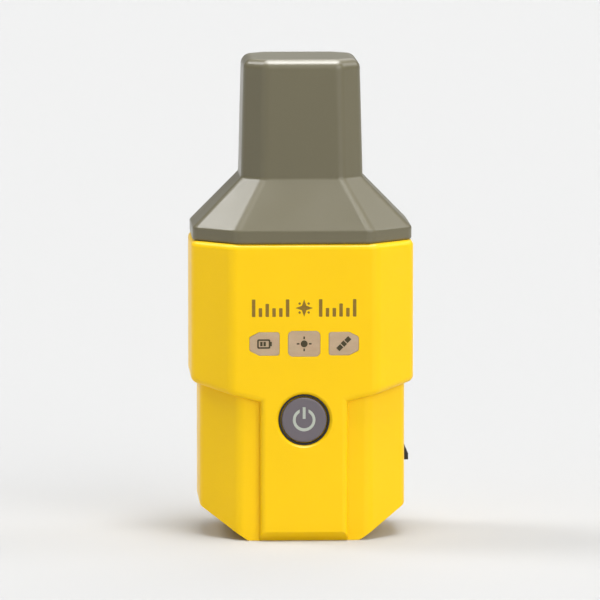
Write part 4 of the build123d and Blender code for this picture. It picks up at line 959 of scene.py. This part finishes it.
def make_contacts():
    """The rows of gilt contacts on both faces of the socket's tongue."""
    socket_low, socket_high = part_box("usb_socket")
    x = socket_high.x - CONTACT_END - CONTACT_LENGTH / 2
    z = (socket_low.z + socket_high.z) / 2
    shape = bmesh.new()
    for face in (front_face(x, -TONGUE_HALF, z), back_face(x, TONGUE_HALF, z)):
        for step in range(CONTACT_COUNT):
            y = (step - (CONTACT_COUNT - 1) / 2) * CONTACT_PITCH
            strip = box_outline(
                0, y, CONTACT_LENGTH, CONTACT_WIDTH, CONTACT_CORNER, CONTACT_CORNER_STEPS
            )
            prism(shape, face, strip, -CONTACT_RAISE, CONTACT_RAISE)
    make_piece("socket_contacts", shape, RECEIVER, MATERIALS["brass"], smooth=False)


make_contacts()


# ------------------------------------------------------------------ back of the housing

LABEL_MARGIN = 0.9 * MM
LABEL_LINE = 0.22 * MM
LABEL_CORNER = 1.0 * MM
LABEL_INNER_CORNER = 0.8 * MM
LABEL_ROWS = 4
LABEL_RULE_SHORTER = 2.4 * MM


def make_label_print():
    """A blank form on the rear label: its border and the rules between its empty rows."""
    label_low, label_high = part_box("rear_label")
    middle = (label_low + label_high) / 2
    width = label_high.x - label_low.x - 2 * LABEL_MARGIN
    height = label_high.z - label_low.z - 2 * LABEL_MARGIN
    face = back_face(middle.x, label_high.y, middle.z)
    shape = bmesh.new()
    outer = box_outline(0, 0, width, height, LABEL_CORNER)
    inner = box_outline(
        0, 0, width - 2 * LABEL_LINE, height - 2 * LABEL_LINE, LABEL_INNER_CORNER
    )
    ink_band(shape, face, outer, inner)
    for row in range(1, LABEL_ROWS):
        y = height * (row / LABEL_ROWS - 0.5)
        ink_in(shape, face, box_outline(0, y, width - LABEL_RULE_SHORTER, LABEL_LINE))
    make_piece("rear_label_print", shape, RECEIVER, LABEL_INK, smooth=False)


VENT_SLOTS = 6
VENT_SLOT_INNER = 1.5 * MM
VENT_SLOT_OUTER = 3.4 * MM
VENT_SLOT_HALF = 0.42 * MM
VENT_SLOT_DEPTH = 0.45 * MM
VENT_SLOT_WALL = 0.16 * MM
VENT_RIM = 0.30 * MM
VENT_THICKNESS = 0.8 * MM
VENT_RINGS = 44
VENT_ANGLES = 192


def vent_height(radius, angle, rim_radius):
    """The vent face's height, 0 where it is flush: slots round a flat middle, and a round rim."""
    slot_turn = 2 * math.pi / VENT_SLOTS
    nearest = round(angle / slot_turn) * slot_turn
    off_side = abs(radius * math.sin(angle - nearest))
    past_end = max(VENT_SLOT_INNER - radius, radius - VENT_SLOT_OUTER, 0.0)
    away = math.hypot(off_side, past_end) - VENT_SLOT_HALF
    slot = min(1.0, max(0.0, 0.5 - away / VENT_SLOT_WALL))
    past_rim = max(0.0, radius - (rim_radius - VENT_RIM)) / VENT_RIM
    rim_drop = 1.0 - math.sqrt(max(0.0, 1.0 - past_rim**2))
    return -VENT_SLOT_DEPTH * slot - VENT_RIM * rim_drop


def vent_loops(shape, face, radius):
    """Rings of vertices over the vent's face, from near its middle out to its rim."""
    angles = [2 * math.pi * step / VENT_ANGLES for step in range(VENT_ANGLES)]
    loops = []
    for ring in range(1, VENT_RINGS + 1):
        out = radius * ring / VENT_RINGS
        loop = []
        for angle in angles:
            x, y = out * math.cos(angle), out * math.sin(angle)
            loop.append(shape.verts.new(face.at(x, y, vent_height(out, angle, radius))))
        loops.append(loop)
    return loops


def make_vent():
    """The pressure vent's cap, with six slots in its face."""
    vent_low, vent_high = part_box("vent_plug")
    middle = (vent_low + vent_high) / 2
    radius = (vent_high.x - vent_low.x) / 2
    face = back_face(middle.x, vent_high.y, middle.z)
    shape = bmesh.new()
    centre = shape.verts.new(face.at(0, 0, 0))
    loops = vent_loops(shape, face, radius)
    back = face.loop(shape, round_outline(0, 0, radius, VENT_ANGLES), -VENT_THICKNESS)
    inmost = loops[0]
    for here in range(VENT_ANGLES):
        shape.faces.new((centre, inmost[(here + 1) % VENT_ANGLES], inmost[here]))
    skin(shape, loops + [back])
    shape.faces.new(back)
    made = make_piece("vent_cap", shape, RECEIVER, MATERIALS["dark_plastic"])
    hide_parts("vent_plug")


make_label_print()
make_vent()
